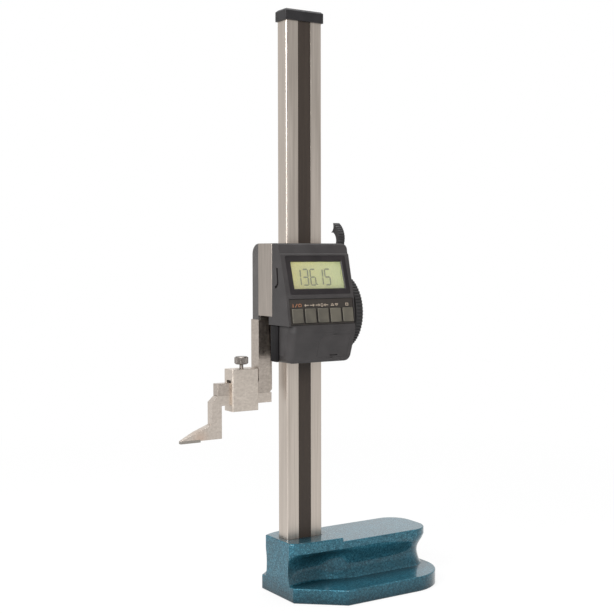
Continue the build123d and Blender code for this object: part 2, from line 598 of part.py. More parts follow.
# ================================================================ sliding head: carriage
with BuildPart() as slider_body:
    block(HEAD_X0, BODY_X1, BODY_Y0, BODY_Y1, BODY_Z0, HEAD_Z1)
    block(LUG_X0, BODY_X1, BODY_Y0, CHANNEL_Y0, LUG_Z0, BODY_Z0)
    chamfer(slider_body.edges().filter_by(Axis.Z).group_by(Axis.Y)[0], BODY_EDGE)
    block(-CHANNEL_X, GIB_X1, CHANNEL_Y0, BODY_Y1, BODY_Z0, HEAD_Z1, Mode.SUBTRACT)
    # pocket for the read head, and one for the drive roller
    block(READ_X0, READ_X1, READ_Y0, CHANNEL_Y0, READ_Z0, READ_Z1, Mode.SUBTRACT)
    block(
        ROLLER_X0 - ROLLER_ROOM, ROLLER_X1 + ROLLER_ROOM, WHEEL_Y - ROLLER_POCKET_R, CHANNEL_Y0,
        WHEEL_Z - ROLLER_POCKET_R, WHEEL_Z + ROLLER_POCKET_R, Mode.SUBTRACT,
    )
    rod((LUG_X0, WHEEL_Y, WHEEL_Z), (1, 0, 0), BUSH_R, BODY_X1 - LUG_X0, Mode.SUBTRACT)
    # slider lock, gib screws, and the screws of the jaw, the cover and the housing
    rod((COLUMN_X, LOCK_Y, LOCK_Z), (1, 0, 0), LOCK_R + RUN_GAP, BODY_X1 - COLUMN_X, Mode.SUBTRACT)
    for z in GIB_SCREW_Z:
        rod(
            (GIB_X1, GIB_SCREW_Y, z), (1, 0, 0), GIB_SCREW_R + RUN_GAP, BODY_WALL, Mode.SUBTRACT,
        )
    for z in JAW_SCREW_Z:
        rod(
            (JAW_SCREW_X, BODY_Y1, z), (0, -1, 0), JAW_SCREW[0] + RUN_GAP, JAW_SCREW_LENGTH,
            Mode.SUBTRACT,
        )
    for x, z in COVER_SCREW_SPOTS:
        rod((x, BODY_Y1, z), (0, -1, 0), COVER_SCREW[0] + RUN_GAP, COVER_SCREW_LENGTH, Mode.SUBTRACT)
    for x, z, _ in HOUSING_SCREW_SPOTS:
        screw_hole(
            (x, HOUSING_SEAT_Y, z), (0, -1, 0), HOUSING_SCREW, BODY_Y1 - HOUSING_SEAT_Y,
            HOUSING_LEDGE,
        )
save(slider_body, "slider_body")

with BuildPart() as guide_gib:
    block(
        CHANNEL_X, GIB_X1, CLEAR_GAP - COLUMN_Y, BODY_Y1 - CLEAR_GAP,
        BODY_Z0 + GIB_SHORT, HEAD_Z1 - GIB_SHORT,
    )
save(guide_gib, "guide_gib")

with BuildPart() as gib_screws:
    for z in GIB_SCREW_Z:
        rod((GIB_X1, GIB_SCREW_Y, z), (1, 0, 0), GIB_SCREW_R, BODY_WALL - BODY_EDGE)
        rod(
            (BODY_X1 - BODY_EDGE, GIB_SCREW_Y, z), (-1, 0, 0), GIB_SOCKET_R, GIB_SCREW_R,
            Mode.SUBTRACT,
        )
save(gib_screws, "gib_screws")

with BuildPart() as shaft_bushes:
    inner_x, outer_x = ROLLER_X0 - ROLLER_ROOM, ROLLER_X1 + ROLLER_ROOM
    rod((LUG_X0, WHEEL_Y, WHEEL_Z), (1, 0, 0), BUSH_R - RUN_GAP / 2, inner_x - LUG_X0)
    rod((outer_x, WHEEL_Y, WHEEL_Z), (1, 0, 0), BUSH_R - RUN_GAP / 2, BODY_X1 - outer_x)
    rod((BODY_X1, WHEEL_Y, WHEEL_Z), (1, 0, 0), BUSH_R + BUSH_FLANGE, BUSH_FLANGE_THICK)
    rod((0, WHEEL_Y, WHEEL_Z), (1, 0, 0), SHAFT_R + RUN_GAP, WHEEL_X1, Mode.SUBTRACT)
save(shaft_bushes, "shaft_bushes")

with BuildPart() as read_head:
    block(
        READ_X0 + SEAT_GAP, READ_X1 - SEAT_GAP, READ_Y0, READ_Y1, READ_Z0 + SEAT_GAP,
        READ_Z1 - SEAT_GAP,
    )
    chamfer(read_head.edges().filter_by(Axis.Z), READ_EDGE)
save(read_head, "read_head")

with BuildPart() as rear_cover:
    block(HEAD_X0, BODY_X1, BODY_Y1, COVER_Y1, COVER_Z0, HEAD_Z1)
    top_back = rear_cover.edges().filter_by(Axis.X).group_by(Axis.Z)[-1].sort_by(Axis.Y)[-1]
    fillet(top_back, COVER_ROUND)
    fillet(rear_cover.edges().filter_by(Axis.Z).group_by(Axis.Y)[-1], COVER_EDGE)
    block(
        -CHANNEL_X - SEAT_GAP, CHANNEL_X + SEAT_GAP, 0, COLUMN_Y + CLEAR_GAP, COVER_Z0, HEAD_Z1,
        Mode.SUBTRACT,
    )
    block(
        TONGUE_X0 - SEAT_GAP, ARM_X1 + SEAT_GAP, 0, TONGUE_Y1 + SEAT_GAP, COVER_Z0,
        TONGUE_Z1 + SEAT_GAP, Mode.SUBTRACT,
    )
    for x, z in COVER_SCREW_SPOTS:
        screw_hole(
            (x, COVER_SEAT_Y, z), (0, -1, 0), COVER_SCREW, COVER_SCREW_SUNK, COVER_SEAT_Y - BODY_Y1,
        )
save(rear_cover, "rear_cover")

with BuildPart() as cover_screws:
    for x, z in COVER_SCREW_SPOTS:
        add(socket_screw((x, COVER_SEAT_Y, z), (0, -1, 0), COVER_SCREW, COVER_SCREW_LENGTH))
save(cover_screws, "cover_screws")


# ================================================================ measuring jaw
with BuildPart() as measuring_jaw:
    block(HEAD_X0, ARM_X1, BODY_Y1, ARM_Y1, JAW_Z0, COVER_Z0)
    block(TONGUE_X0, ARM_X1, BODY_Y1, TONGUE_Y1, COVER_Z0, TONGUE_Z1)
    block(JAW_X0, HEAD_X0, BODY_Y1, JAW_Y1, JAW_Z0, JAW_Z1)
    outer_corner = measuring_jaw.edges().filter_by(Axis.Y).group_by(Axis.Z)[0].sort_by(Axis.X)[-1]
    chamfer(outer_corner, ARM_CORNER)
    for z in JAW_SCREW_Z:
        screw_hole(
            (JAW_SCREW_X, JAW_SEAT_Y, z), (0, -1, 0), JAW_SCREW, TONGUE_Y1 - JAW_SEAT_Y,
            JAW_SEAT_Y - BODY_Y1,
        )
save(measuring_jaw, "measuring_jaw")

with BuildPart() as jaw_screws:
    for z in JAW_SCREW_Z:
        add(socket_screw((JAW_SCREW_X, JAW_SEAT_Y, z), (0, -1, 0), JAW_SCREW, JAW_SCREW_LENGTH))
save(jaw_screws, "jaw_screws")


# ================================================================ scriber and its clamp
with BuildPart() as clamp_box:
    block(CLAMP_X0, CLAMP_X1, SLOT_Y0 - CLAMP_FRONT, SLOT_Y1 + CLAMP_BACK, CLAMP_Z0, CLAMP_Z1)
    chamfer(clamp_box.edges().filter_by(Axis.Z), CLAMP_EDGE)
    block(
        CLAMP_X0 - SURPLUS, CLAMP_X1 + SURPLUS, SLOT_Y0, SLOT_Y1, SLOT_Z0, SLOT_Z1, Mode.SUBTRACT,
    )
    rod(
        (CLAMP_MID_X, SHANK_MID_Y, SLOT_Z1), (0, 0, 1), THUMB_SHANK_R + RUN_GAP, CLAMP_ROOF,
        Mode.SUBTRACT,
    )
save(clamp_box, "clamp_box")

with BuildPart() as clamp_pad:
    rod((CLAMP_MID_X, SHANK_MID_Y, PAD_Z0), (0, 0, 1), PAD_R, PAD_THICK)
save(clamp_pad, "clamp_pad")

with BuildPart() as clamp_thumbscrew:
    shank_foot = PAD_Z1 + CLAMP_FIT
    rod((CLAMP_MID_X, SHANK_MID_Y, shank_foot), (0, 0, 1), THUMB_SHANK_R, THUMB_Z0 - shank_foot)
    rod((CLAMP_MID_X, SHANK_MID_Y, THUMB_Z0), (0, 0, 1), THUMB_HEAD_R, THUMB_H)
    rims = clamp_thumbscrew.edges().filter_by(GeomType.CIRCLE).group_by(SortBy.RADIUS)[-1]
    chamfer(rims, THUMB_EDGE)
save(clamp_thumbscrew, "clamp_thumbscrew")


def ground_away():
    """What is ground off the back of the blade so that it narrows to its tip."""
    with BuildPart() as waste:
        with BuildSketch(Plane.XY.offset(READING)):
            Polygon(
                (TIP_X - SURPLUS, JAW_Y1 + SURPLUS), (TIP_X - SURPLUS, BODY_Y1 + TIP_WIDTH),
                (TIP_X, BODY_Y1 + TIP_WIDTH), (TIP_X + TIP_TAPER, JAW_Y1),
                (TIP_X + TIP_TAPER, JAW_Y1 + SURPLUS), align=None,
            )
        extrude(amount=JAW_RISE)
    return waste.part


with BuildPart() as scriber:
    block(LEG_X1 - SURPLUS, ARM_X1 - SHANK_SHORT, BODY_Y1, JAW_Y1, SHANK_Z0, SHANK_Z1)
    with BuildSketch(Plane.XZ.offset(-BODY_Y1)):
        Polygon(
            (LEG_X1, SHANK_Z1), (LEG_X0 + SHOULDER_X, SHANK_Z1), (LEG_X0, SHANK_Z1 - SHOULDER_Z),
            (LEG_X0, READING + BLADE_RISE), (TIP_X, INSERT_Z1 + TIP_FLAT), (TIP_X, INSERT_Z1),
            (INSERT_X, INSERT_Z1), (INSERT_X, READING + LEG_RISE), (LEG_X1, READING + LEG_RISE),
            align=None,
        )
    extrude(amount=BODY_Y1 - JAW_Y1)
    add(ground_away(), mode=Mode.SUBTRACT)
save(scriber, "scriber")

with BuildPart() as carbide_tip:
    block(TIP_X, INSERT_X, BODY_Y1, JAW_Y1, READING, INSERT_Z1)
    add(ground_away(), mode=Mode.SUBTRACT)
save(carbide_tip, "carbide_tip")


# ================================================================ display housing
def slope_y(top, foot, z):
    """Y of the face from top to foot, both (Y, Z), at height z."""
    return foot[0] + (top[0] - foot[0]) * (z - foot[1]) / (top[1] - foot[1])


def slope_plane(top, foot, x, z):
    """Plane on a sloping front face: x along +X, y up the slope, z out of the face."""
    lean = atan2(top[0] - foot[0], top[1] - foot[1])
    return Plane(origin=(x, slope_y(top, foot, z), z), x_dir=(1, 0, 0), z_dir=(0, -cos(lean), sin(lean)))


window_stretch = hypot(1, (WINDOW_TOP[0] - WINDOW_FOOT[0]) / WINDOW_FACE_H)
bezel_plane = slope_plane(WINDOW_TOP, WINDOW_FOOT, (BEZEL_X0 + BEZEL_X1) / 2, (BEZEL_Z0 + BEZEL_Z1) / 2)
bezel_size = (BEZEL_X1 - BEZEL_X0, (BEZEL_Z1 - BEZEL_Z0) * window_stretch)
lcd_plane = slope_plane(WINDOW_TOP, WINDOW_FOOT, (LCD_X0 + LCD_X1) / 2, (LCD_Z0 + LCD_Z1) / 2)
lcd_size = (LCD_X1 - LCD_X0, (LCD_Z1 - LCD_Z0) * window_stretch)
keys_plane = slope_plane(WINDOW_FOOT, KEYS_FOOT, 0, KEY_MID_Z)
panel_spot = ((KEYS_X0 + KEYS_X1) / 2, (KEYS_ABOVE - KEYS_BELOW) / 2)
panel_size = (KEYS_X1 - KEYS_X0, KEYS_ABOVE + KEYS_BELOW)
lid_plane = slope_plane(CHIN_TOP, CHIN_FOOT, LID_X1 - LID_W / 2, LID_Z0 + LID_H / 2)


def housing_blank(inset):
    """The housing's envelope, or the same shrunk on all sides by inset."""
    with BuildPart() as blank:
        with BuildSketch(Plane.YZ.offset(HEAD_X0 + inset)) as side_view:
            Polygon(
                (BODY_Y0, HEAD_Z1), TOP, BROW, WINDOW_TOP, WINDOW_FOOT, KEYS_FOOT, CHIN_TOP,
                CHIN_FOOT, (LOWER_BACK_Y, CHIN_FOOT[1]), (LOWER_BACK_Y, BODY_Z0),
                (BODY_Y0, BODY_Z0), align=None,
            )
            if inset:
                offset(amount=-inset, kind=Kind.INTERSECTION)
            else:
                rounds = ((TOP, TOP_ROUND), (CHIN_TOP, CHIN_ROUND), (CHIN_FOOT, HEEL_ROUND))
                for (spot, _), radius in rounds:
                    fillet(side_view.vertices().sort_by(lambda v: abs(v.X - spot))[0], radius)
        extrude(amount=HOUSING_X1 - HEAD_X0 + SURPLUS)
        with BuildSketch(Plane.XZ) as front_view:
            Polygon(
                (HEAD_X0, HEAD_Z1), (HOUSING_X1, HEAD_Z1), (HOUSING_X1 - HOUSING_TAPER, CHIN_FOOT[1]),
                (LOWER_X0, CHIN_FOOT[1]), (LOWER_X0, LOWER_TOP_Z), (HEAD_X0, LOWER_TOP_Z), align=None,
            )
            if inset:
                offset(amount=-inset, kind=Kind.INTERSECTION)
            else:
                fillet(front_view.vertices().group_by(Axis.Y)[-1].sort_by(Axis.X)[-1], SHOULDER_ROUND)
                fillet(front_view.vertices().group_by(Axis.Y)[0].sort_by(Axis.X)[-1], HIP_ROUND)
        extrude(amount=HOUSING_X1 - HEAD_X0, mode=Mode.INTERSECT)
        left_edges = blank.edges().filter_by(lambda e: abs(e.center().X - LOWER_X0 - inset) < PICK)
        front_left = left_edges.filter_by(
            lambda e: e.center().Y < CHIN_FOOT[0] + inset and e.center().Z < LOWER_TOP_Z
        )
        fillet(front_left, LOWER_ROUND - inset)
    return blank.part


with BuildPart() as display_housing:
    add(housing_blank(0))
    add(housing_blank(WALL), mode=Mode.SUBTRACT)
    # open back where it sits on the slider, and a notch round the slider's bearing lug
    block(
        HEAD_X0 + WALL, BODY_X1 - HOUSING_OPEN_INSET, BODY_Y0 - WALL - SURPLUS, BODY_Y0 + SURPLUS,
        BODY_Z0 + BODY_EDGE, HEAD_Z1 - HOUSING_OPEN_SHORT, Mode.SUBTRACT,
    )
    block(
        LUG_X0 - CLEAR_GAP, HOUSING_X1, BODY_Y0 - SEAT_GAP, 0, LUG_Z0 - CLEAR_GAP, BODY_Z0 + SEAT_GAP,
        Mode.SUBTRACT,
    )
    # recess for the display frame, with the display's opening
    with BuildSketch(bezel_plane):
        RectangleRounded(*bezel_size, BEZEL_CORNER)
    extrude(amount=-BEZEL_DEPTH, mode=Mode.SUBTRACT)
    with BuildSketch(lcd_plane):
        Rectangle(lcd_size[0] + 2 * LCD_LAP + CLEAR_GAP, lcd_size[1] + 2 * LCD_LAP + CLEAR_GAP)
    extrude(amount=-2 * WALL, mode=Mode.SUBTRACT)
    # recess for the key panel, with the keys' opening
    with BuildSketch(keys_plane):
        with Locations(panel_spot):
            Rectangle(*panel_size)
    extrude(amount=-KEYS_DEPTH, mode=Mode.SUBTRACT)
    with BuildSketch(keys_plane):
        with Locations((KEY_ROW_X, 0)):
            Rectangle(
                KEY_ROW_W + 2 * KEY_SKIRT_LAP + PANEL_GAP, KEY_H + 2 * KEY_SKIRT_LAP + 2 * CLEAR_GAP,
            )
    extrude(amount=-2 * WALL, mode=Mode.SUBTRACT)
    # battery opening in the chin
    with BuildSketch(lid_plane) as lid_opening:
        Rectangle(LID_W + 2 * SEAT_GAP, LID_H + 2 * SEAT_GAP)
        fillet(lid_opening.vertices().group_by(Axis.X)[0].sort_by(Axis.Y)[-1], LID_CORNER + SEAT_GAP)
    extrude(amount=-LID_THICK - RUN_GAP, mode=Mode.SUBTRACT)
    with BuildSketch(lid_plane):
        Circle(CELL_R + CLEAR_GAP)
    extrude(amount=-2 * WALL, mode=Mode.SUBTRACT)
    # hooked slot in the left wall
    with BuildSketch(Plane.YZ.offset(HEAD_X0)):
        with BuildLine():
            Polyline(*[(BODY_Y0 - out, BODY_Z0 + up) for out, up in HOOK_SLOT])
        trace(line_width=HOOK_SLOT_W)
    extrude(amount=HOOK_SLOT_DEPTH, mode=Mode.SUBTRACT)
    # screw posts, and two posts that carry the circuit board
    post_bore = HOUSING_SCREW_LENGTH - HOUSING_LEDGE + POST_BORE_SPARE
    for x, z, length in HOUSING_SCREW_SPOTS:
        rod((x, BODY_Y0, z), (0, -1, 0), POST_R, length)
        rod((x, BODY_Y0, z), (0, -1, 0), HOUSING_SCREW[0] + RUN_GAP, post_bore, Mode.SUBTRACT)
    panel_back_y = slope_y(WINDOW_FOOT, KEYS_FOOT, BOARD_POST_Z) + KEYS_DEPTH
    for x in (BOARD_X0 + BOARD_POST_INSET, BOARD_X1 - BOARD_POST_INSET):
        rod((x, BOARD_Y, BOARD_POST_Z), (0, -1, 0), BOARD_POST_R, BOARD_Y - panel_back_y)
save(display_housing, "display_housing")

with BuildPart() as housing_screws:
    for x, z, _ in HOUSING_SCREW_SPOTS:
        seat = (x, HOUSING_SEAT_Y, z)
        add(socket_screw(seat, (0, -1, 0), HOUSING_SCREW, HOUSING_SCREW_LENGTH))
save(housing_screws, "housing_screws")


# ================================================================ display, keys and electronics
with BuildPart() as display_bezel:
    with BuildSketch(bezel_plane.offset(-BEZEL_DEPTH)):
        RectangleRounded(bezel_size[0] - 2 * SEAT_GAP, bezel_size[1] - 2 * SEAT_GAP, BEZEL_CORNER)
    extrude(amount=BEZEL_THICK)
    with BuildSketch(lcd_plane.offset(-BEZEL_DEPTH)):
        Rectangle(*lcd_size)
    extrude(amount=BEZEL_THICK, mode=Mode.SUBTRACT)
    # the frame's inner edge slopes down to the window
    front_face = display_bezel.faces().sort_by(Axis(bezel_plane.origin, bezel_plane.z_dir))[-1]
    chamfer(front_face.inner_wires()[0].edges(), BEZEL_SLOPE)
save(display_bezel, "display_bezel")

with BuildPart() as display_glass:
    with BuildSketch(lcd_plane.offset(-BEZEL_DEPTH)):
        Rectangle(lcd_size[0] + 2 * LCD_LAP, lcd_size[1] + 2 * LCD_LAP)
    extrude(amount=-GLASS_THICK)
save(display_glass, "display_glass")

with BuildPart() as display_panel:
    with BuildSketch(lcd_plane.offset(-BEZEL_DEPTH - GLASS_THICK)):
        Rectangle(lcd_size[0] + 2 * LCD_LAP, lcd_size[1] + 2 * LCD_LAP)
    extrude(amount=-LCD_THICK)
save(display_panel, "display_panel")

with BuildPart() as key_panel:
    with BuildSketch(keys_plane.offset(-KEYS_DEPTH)):
        with Locations(panel_spot):
            Rectangle(panel_size[0] - 2 * PANEL_GAP, panel_size[1] - 2 * PANEL_GAP)
        with Locations([(x, 0) for x in KEY_X]):
            Rectangle(KEY_W + 2 * KEY_GAP, KEY_H + 2 * KEY_GAP, mode=Mode.SUBTRACT)
    extrude(amount=PANEL_THICK)
save(key_panel, "key_panel")

for place, x in enumerate(KEY_X, start=1):
    with BuildPart() as button:
        with BuildSketch(keys_plane.offset(-KEYS_DEPTH)):
            with Locations((x, 0)):
                RectangleRounded(KEY_W, KEY_H, KEY_CORNER)
        extrude(amount=KEYS_DEPTH + KEY_PROUD)
        face = button.faces().sort_by(Axis(keys_plane.origin, keys_plane.z_dir))[-1]
        chamfer(face.edges(), KEY_EDGE)
        with BuildSketch(keys_plane.offset(-KEYS_DEPTH)):
            with Locations((x, 0)):
                Rectangle(KEY_W + 2 * KEY_SKIRT_LAP, KEY_H + 2 * KEY_SKIRT_LAP)
        extrude(amount=-KEY_SKIRT)
    save(button, f"button_{place}")

with BuildPart() as key_board:
    with BuildSketch(keys_plane.offset(-KEYS_DEPTH - KEY_SKIRT - KEY_TRAVEL - CLEAR_GAP)):
        with Locations((KEY_ROW_X, 0)):
            Rectangle(KEY_ROW_W - 2 * KEY_BOARD_LAP, KEY_BOARD_H)
    extrude(amount=-KEY_BOARD_THICK)
save(key_board, "key_board")

with BuildPart() as circuit_board:
    block(BOARD_X0, BOARD_X1, BOARD_Y, BOARD_Y + BOARD_THICK, BOARD_Z0, BOARD_Z1)
    for x in KEY_X[1:-1]:
        block(
            x - SWITCH_W / 2, x + SWITCH_W / 2, BOARD_Y - SWITCH_DEPTH, BOARD_Y,
            KEY_MID_Z - SWITCH_W / 2, KEY_MID_Z + SWITCH_W / 2,
        )
    block(
        -CHIP_W / 2, CHIP_W / 2, BOARD_Y - CHIP_DEPTH, BOARD_Y, BOARD_Z0 + CHIP_UP,
        BOARD_Z0 + CHIP_UP + CHIP_H,
    )
save(circuit_board, "circuit_board")

with BuildPart() as battery_lid:
    with BuildSketch(lid_plane.offset(-LID_THICK)) as lid_plan:
        Rectangle(LID_W, LID_H)
        fillet(lid_plan.vertices().group_by(Axis.X)[0].sort_by(Axis.Y)[-1], LID_CORNER)
    extrude(amount=LID_THICK)
    with BuildSketch(lid_plane):
        with Locations((NAIL_SLOT_X, NAIL_SLOT_UP - LID_H / 2)):
            SlotOverall(NAIL_SLOT_W, NAIL_SLOT_H)
    extrude(amount=-NAIL_SLOT_DEPTH, mode=Mode.SUBTRACT)
save(battery_lid, "battery_lid")

with BuildPart() as battery:
    with BuildSketch(lid_plane.offset(-LID_THICK)):
        Circle(CELL_R)
    extrude(amount=-CELL_THICK)
save(battery, "battery")

with BuildPart() as data_port_cover:
    block(
        HEAD_X0, LOWER_X0, BODY_Y0 - PORT_OUT, BODY_Y0 + PORT_BACK, CHIN_FOOT[1] + PORT_UP,
        LOWER_TOP_Z - CLEAR_GAP,
    )
    fillet(data_port_cover.edges().filter_by(Axis.Z).group_by(Axis.X)[0], PORT_ROUND)
    chamfer(data_port_cover.edges().group_by(Axis.X)[0].filter_by(Axis.Y), PORT_EDGE)
save(data_port_cover, "data_port_cover")


# ================================================================ hand wheel and its drive
with BuildPart() as hand_wheel:
    with BuildSketch(Plane(origin=(WHEEL_X0, WHEEL_Y, WHEEL_Z), z_dir=(1, 0, 0))):
        Circle(WHEEL_R)
        with PolarLocations(WHEEL_R, WHEEL_RIBS):
            Rectangle(RIB_GROOVE, RIB_GROOVE, mode=Mode.SUBTRACT)
    extrude(amount=WHEEL_THICK)
    # dished on both sides, with a hub
    back_r, front_r = WHEEL_R - WHEEL_RIM_BACK, WHEEL_R - WHEEL_RIM_FRONT
    rod((WHEEL_X0, WHEEL_Y, WHEEL_Z), (1, 0, 0), back_r, WHEEL_DISH_BACK, Mode.SUBTRACT)
    rod((WHEEL_X1, WHEEL_Y, WHEEL_Z), (-1, 0, 0), front_r, WHEEL_DISH_FRONT, Mode.SUBTRACT)
    hub_x0 = BODY_X1 + WHEEL_HUB_GAP
    rod((hub_x0, WHEEL_Y, WHEEL_Z), (1, 0, 0), WHEEL_HUB_R, WHEEL_X1 - hub_x0)
    rod((hub_x0, WHEEL_Y, WHEEL_Z), (1, 0, 0), SHAFT_R, WHEEL_X1 - hub_x0, Mode.SUBTRACT)
save(hand_wheel, "hand_wheel")

with BuildPart() as wheel_shaft:
    shaft_x0 = LUG_X0 + CLEAR_GAP
    rod((shaft_x0, WHEEL_Y, WHEEL_Z), (1, 0, 0), SHAFT_R, WHEEL_X1 - shaft_x0)
    chamfer(wheel_shaft.edges().group_by(Axis.X)[0], SHAFT_EDGE)
    tap_r = WHEEL_SCREW[0] + RUN_GAP
    rod((WHEEL_X1, WHEEL_Y, WHEEL_Z), (-1, 0, 0), tap_r, WHEEL_SCREW_TAP, Mode.SUBTRACT)
save(wheel_shaft, "wheel_shaft")

with BuildPart() as drive_roller:
    rod((ROLLER_X0, WHEEL_Y, WHEEL_Z), (1, 0, 0), ROLLER_R, ROLLER_W)
    rod((ROLLER_X0, WHEEL_Y, WHEEL_Z), (1, 0, 0), SHAFT_R, ROLLER_W, Mode.SUBTRACT)
save(drive_roller, "drive_roller")

with BuildPart() as wheel_screw:
    add(socket_screw((WHEEL_X1, WHEEL_Y, WHEEL_Z), (-1, 0, 0), WHEEL_SCREW, WHEEL_SCREW_LENGTH))
    head_rim = wheel_screw.edges().filter_by(GeomType.CIRCLE).group_by(Axis.X)[-1]
    chamfer(head_rim, SHAFT_EDGE)
save(wheel_screw, "wheel_screw")


# ================================================================ slider lock
def from_stud(spots):
    """Points given as (Y, Z) from the lock stud's axis, in the side view."""
    return [(LOCK_Y + y, LOCK_Z + z) for y, z in spots]


with BuildPart() as clamp_lever:
    rod((LEVER_X0, LOCK_Y, LOCK_Z), (1, 0, 0), LEVER_HUB_R, LEVER_THICK)
    with BuildSketch(Plane.YZ.offset(LEVER_X0)):
        with BuildLine():
            back = Spline(*from_stud(LEVER_BACK))
            RadiusArc(back @ 1, from_stud(LEVER_FRONT)[0], LEVER_TIP_R)
            front = Spline(*from_stud(LEVER_FRONT))
            Line(front @ 1, back @ 0)
        make_face()
    extrude(amount=LEVER_THICK)
    # finger grooves across its front
    for groove in range(LEVER_GROOVES):
        share = GROOVES_FROM + (GROOVES_TO - GROOVES_FROM) * groove / (LEVER_GROOVES - 1)
        spot = front @ share
        rod((LEVER_X0, spot.X, spot.Y), (1, 0, 0), LEVER_GROOVE_R, LEVER_THICK, Mode.SUBTRACT)
    neck_x0 = BODY_X1 + CLEAR_GAP
    rod((neck_x0, LOCK_Y, LOCK_Z), (1, 0, 0), LEVER_NECK_R, LEVER_X0 - neck_x0)
    rod((neck_x0, LOCK_Y, LOCK_Z), (1, 0, 0), LOCK_R, LEVER_X1 - neck_x0, Mode.SUBTRACT)
save(clamp_lever, "clamp_lever")

with BuildPart() as lock_stud:
    stud_x0 = GIB_X1 + LOCK_GAP
    rod((stud_x0, LOCK_Y, LOCK_Z), (1, 0, 0), LOCK_R, LEVER_X1 - stud_x0)
    rod((LEVER_X1, LOCK_Y, LOCK_Z), (1, 0, 0), LOCK_HEAD_R, LOCK_HEAD_H)
    with BuildSketch(Plane(origin=(LEVER_X1 + LOCK_HEAD_H, LOCK_Y, LOCK_Z), z_dir=(1, 0, 0))):
        RegularPolygon(LOCK_HEXAGON, 6)
    extrude(amount=-LOCK_HEXAGON_DEPTH, mode=Mode.SUBTRACT)
save(lock_stud, "lock_stud")
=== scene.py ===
"""Looks of the digital height gauge: finishes, small detail, floor, lights and camera.

Metres, in the CAD frame: +Z up, the display faces -Y, the scriber points to -X.
"""
from math import cos, pi, radians, sin

import bmesh
import bpy
from mathutils import Matrix, Vector


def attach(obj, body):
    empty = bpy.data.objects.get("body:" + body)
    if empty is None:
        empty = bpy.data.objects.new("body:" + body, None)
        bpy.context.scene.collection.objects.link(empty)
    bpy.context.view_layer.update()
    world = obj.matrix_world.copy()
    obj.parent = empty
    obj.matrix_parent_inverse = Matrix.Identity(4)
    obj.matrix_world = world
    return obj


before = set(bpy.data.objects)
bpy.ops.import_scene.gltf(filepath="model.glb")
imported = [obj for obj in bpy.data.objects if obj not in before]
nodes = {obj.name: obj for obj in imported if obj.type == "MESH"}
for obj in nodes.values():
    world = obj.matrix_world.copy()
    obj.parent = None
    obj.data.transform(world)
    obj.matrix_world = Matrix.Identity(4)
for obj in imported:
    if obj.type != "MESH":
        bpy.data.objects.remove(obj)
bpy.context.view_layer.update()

MM = 0.001


# ---------------------------------------------------------------- material tools
def colour(code):
    """sRGB hex to the linear colour that shaders work in."""
    parts = [int(code[i:i + 2], 16) / 255 for i in (1, 3, 5)]
    linear = [p / 12.92 if p <= 0.04045 else ((p + 0.055) / 1.055) ** 2.4 for p in parts]
    return (*linear, 1.0)


def add_node(tree, kind, inputs=None, **settings):
    """Add a node. inputs gives each socket, by name or place, a value or a socket to link from."""
    node = tree.nodes.new(kind)
    for name, value in settings.items():
        setattr(node, name, value)
    for socket, value in (inputs or {}).items():
        if isinstance(value, bpy.types.NodeSocket):
            tree.links.new(value, node.inputs[socket])
        else:
            node.inputs[socket].default_value = value
    return node


def new_material(name, **constants):
    """A Principled material with its constant inputs set; returns it, its tree and its shader."""
    material = bpy.data.materials.new(name)
    material.use_nodes = True
    tree = material.node_tree
    shader = tree.nodes["Principled BSDF"]
    for socket, value in constants.items():
        shader.inputs[socket.replace("_", " ")].default_value = value
    return material, tree, shader


def place(tree, grain_mm):
    """Object position divided by a grain size along X, Y and Z, in millimetres."""
    spot = add_node(tree, "ShaderNodeTexCoord").outputs["Object"]
    scale = [1 / (size * MM) for size in grain_mm]
    return add_node(tree, "ShaderNodeMapping", {"Vector": spot, "Scale": scale}).outputs[0]


def noise(tree, where, detail=2.0, roughness=0.5):
    """Noise whose features are one unit of where across."""
    settings = {"Vector": where, "Scale": 1.0, "Detail": detail, "Roughness": roughness}
    return add_node(tree, "ShaderNodeTexNoise", settings).outputs["Fac"]


def stretch(tree, value, low, high, to_low=0.0, to_high=1.0):
    """A value from low..high spread over to_low..to_high, clamped."""
    settings = {"Value": value, 1: low, 2: high, 3: to_low, 4: to_high}
    return add_node(tree, "ShaderNodeMapRange", settings).outputs[0]


def blend_colours(tree, factor, first, second):
    """Mix of two colours, each a hex value or a socket."""
    ends = [colour(c) if isinstance(c, str) else c for c in (first, second)]
    settings = {0: factor, 6: ends[0], 7: ends[1]}
    return add_node(tree, "ShaderNodeMix", settings, data_type="RGBA").outputs[2]


def bump(tree, shader, height, depth_mm, strength=1.0):
    """Surface relief of depth_mm from a 0..1 height."""
    settings = {"Height": height, "Distance": depth_mm * MM, "Strength": strength}
    tree.links.new(add_node(tree, "ShaderNodeBump", settings).outputs[0], shader.inputs["Normal"])


def edge_wear_and_highlight(tree, radius_mm):
    """1 on sharp outer edges and 0 elsewhere, from how a rounded normal differs."""
    rounded = add_node(tree, "ShaderNodeBevel", {"Radius": radius_mm * MM}, samples=4).outputs[0]
    flat = add_node(tree, "ShaderNodeNewGeometry").outputs["Normal"]
    dot = add_node(tree, "ShaderNodeVectorMath", {0: rounded, 1: flat}, operation="DOT_PRODUCT")
    return stretch(tree, dot.outputs["Value"], 0.97, 0.75)


def painted_crevice_shade(tree, reach_mm):
    """1 deep in gaps and inner corners, where painted shade darkens the colour, and 0 in the open.
    """
    reach = {"Distance": reach_mm * MM}
    open_share = add_node(tree, "ShaderNodeAmbientOcclusion", reach, samples=8).outputs["AO"]
    return stretch(tree, open_share, 0.85, 0.35)


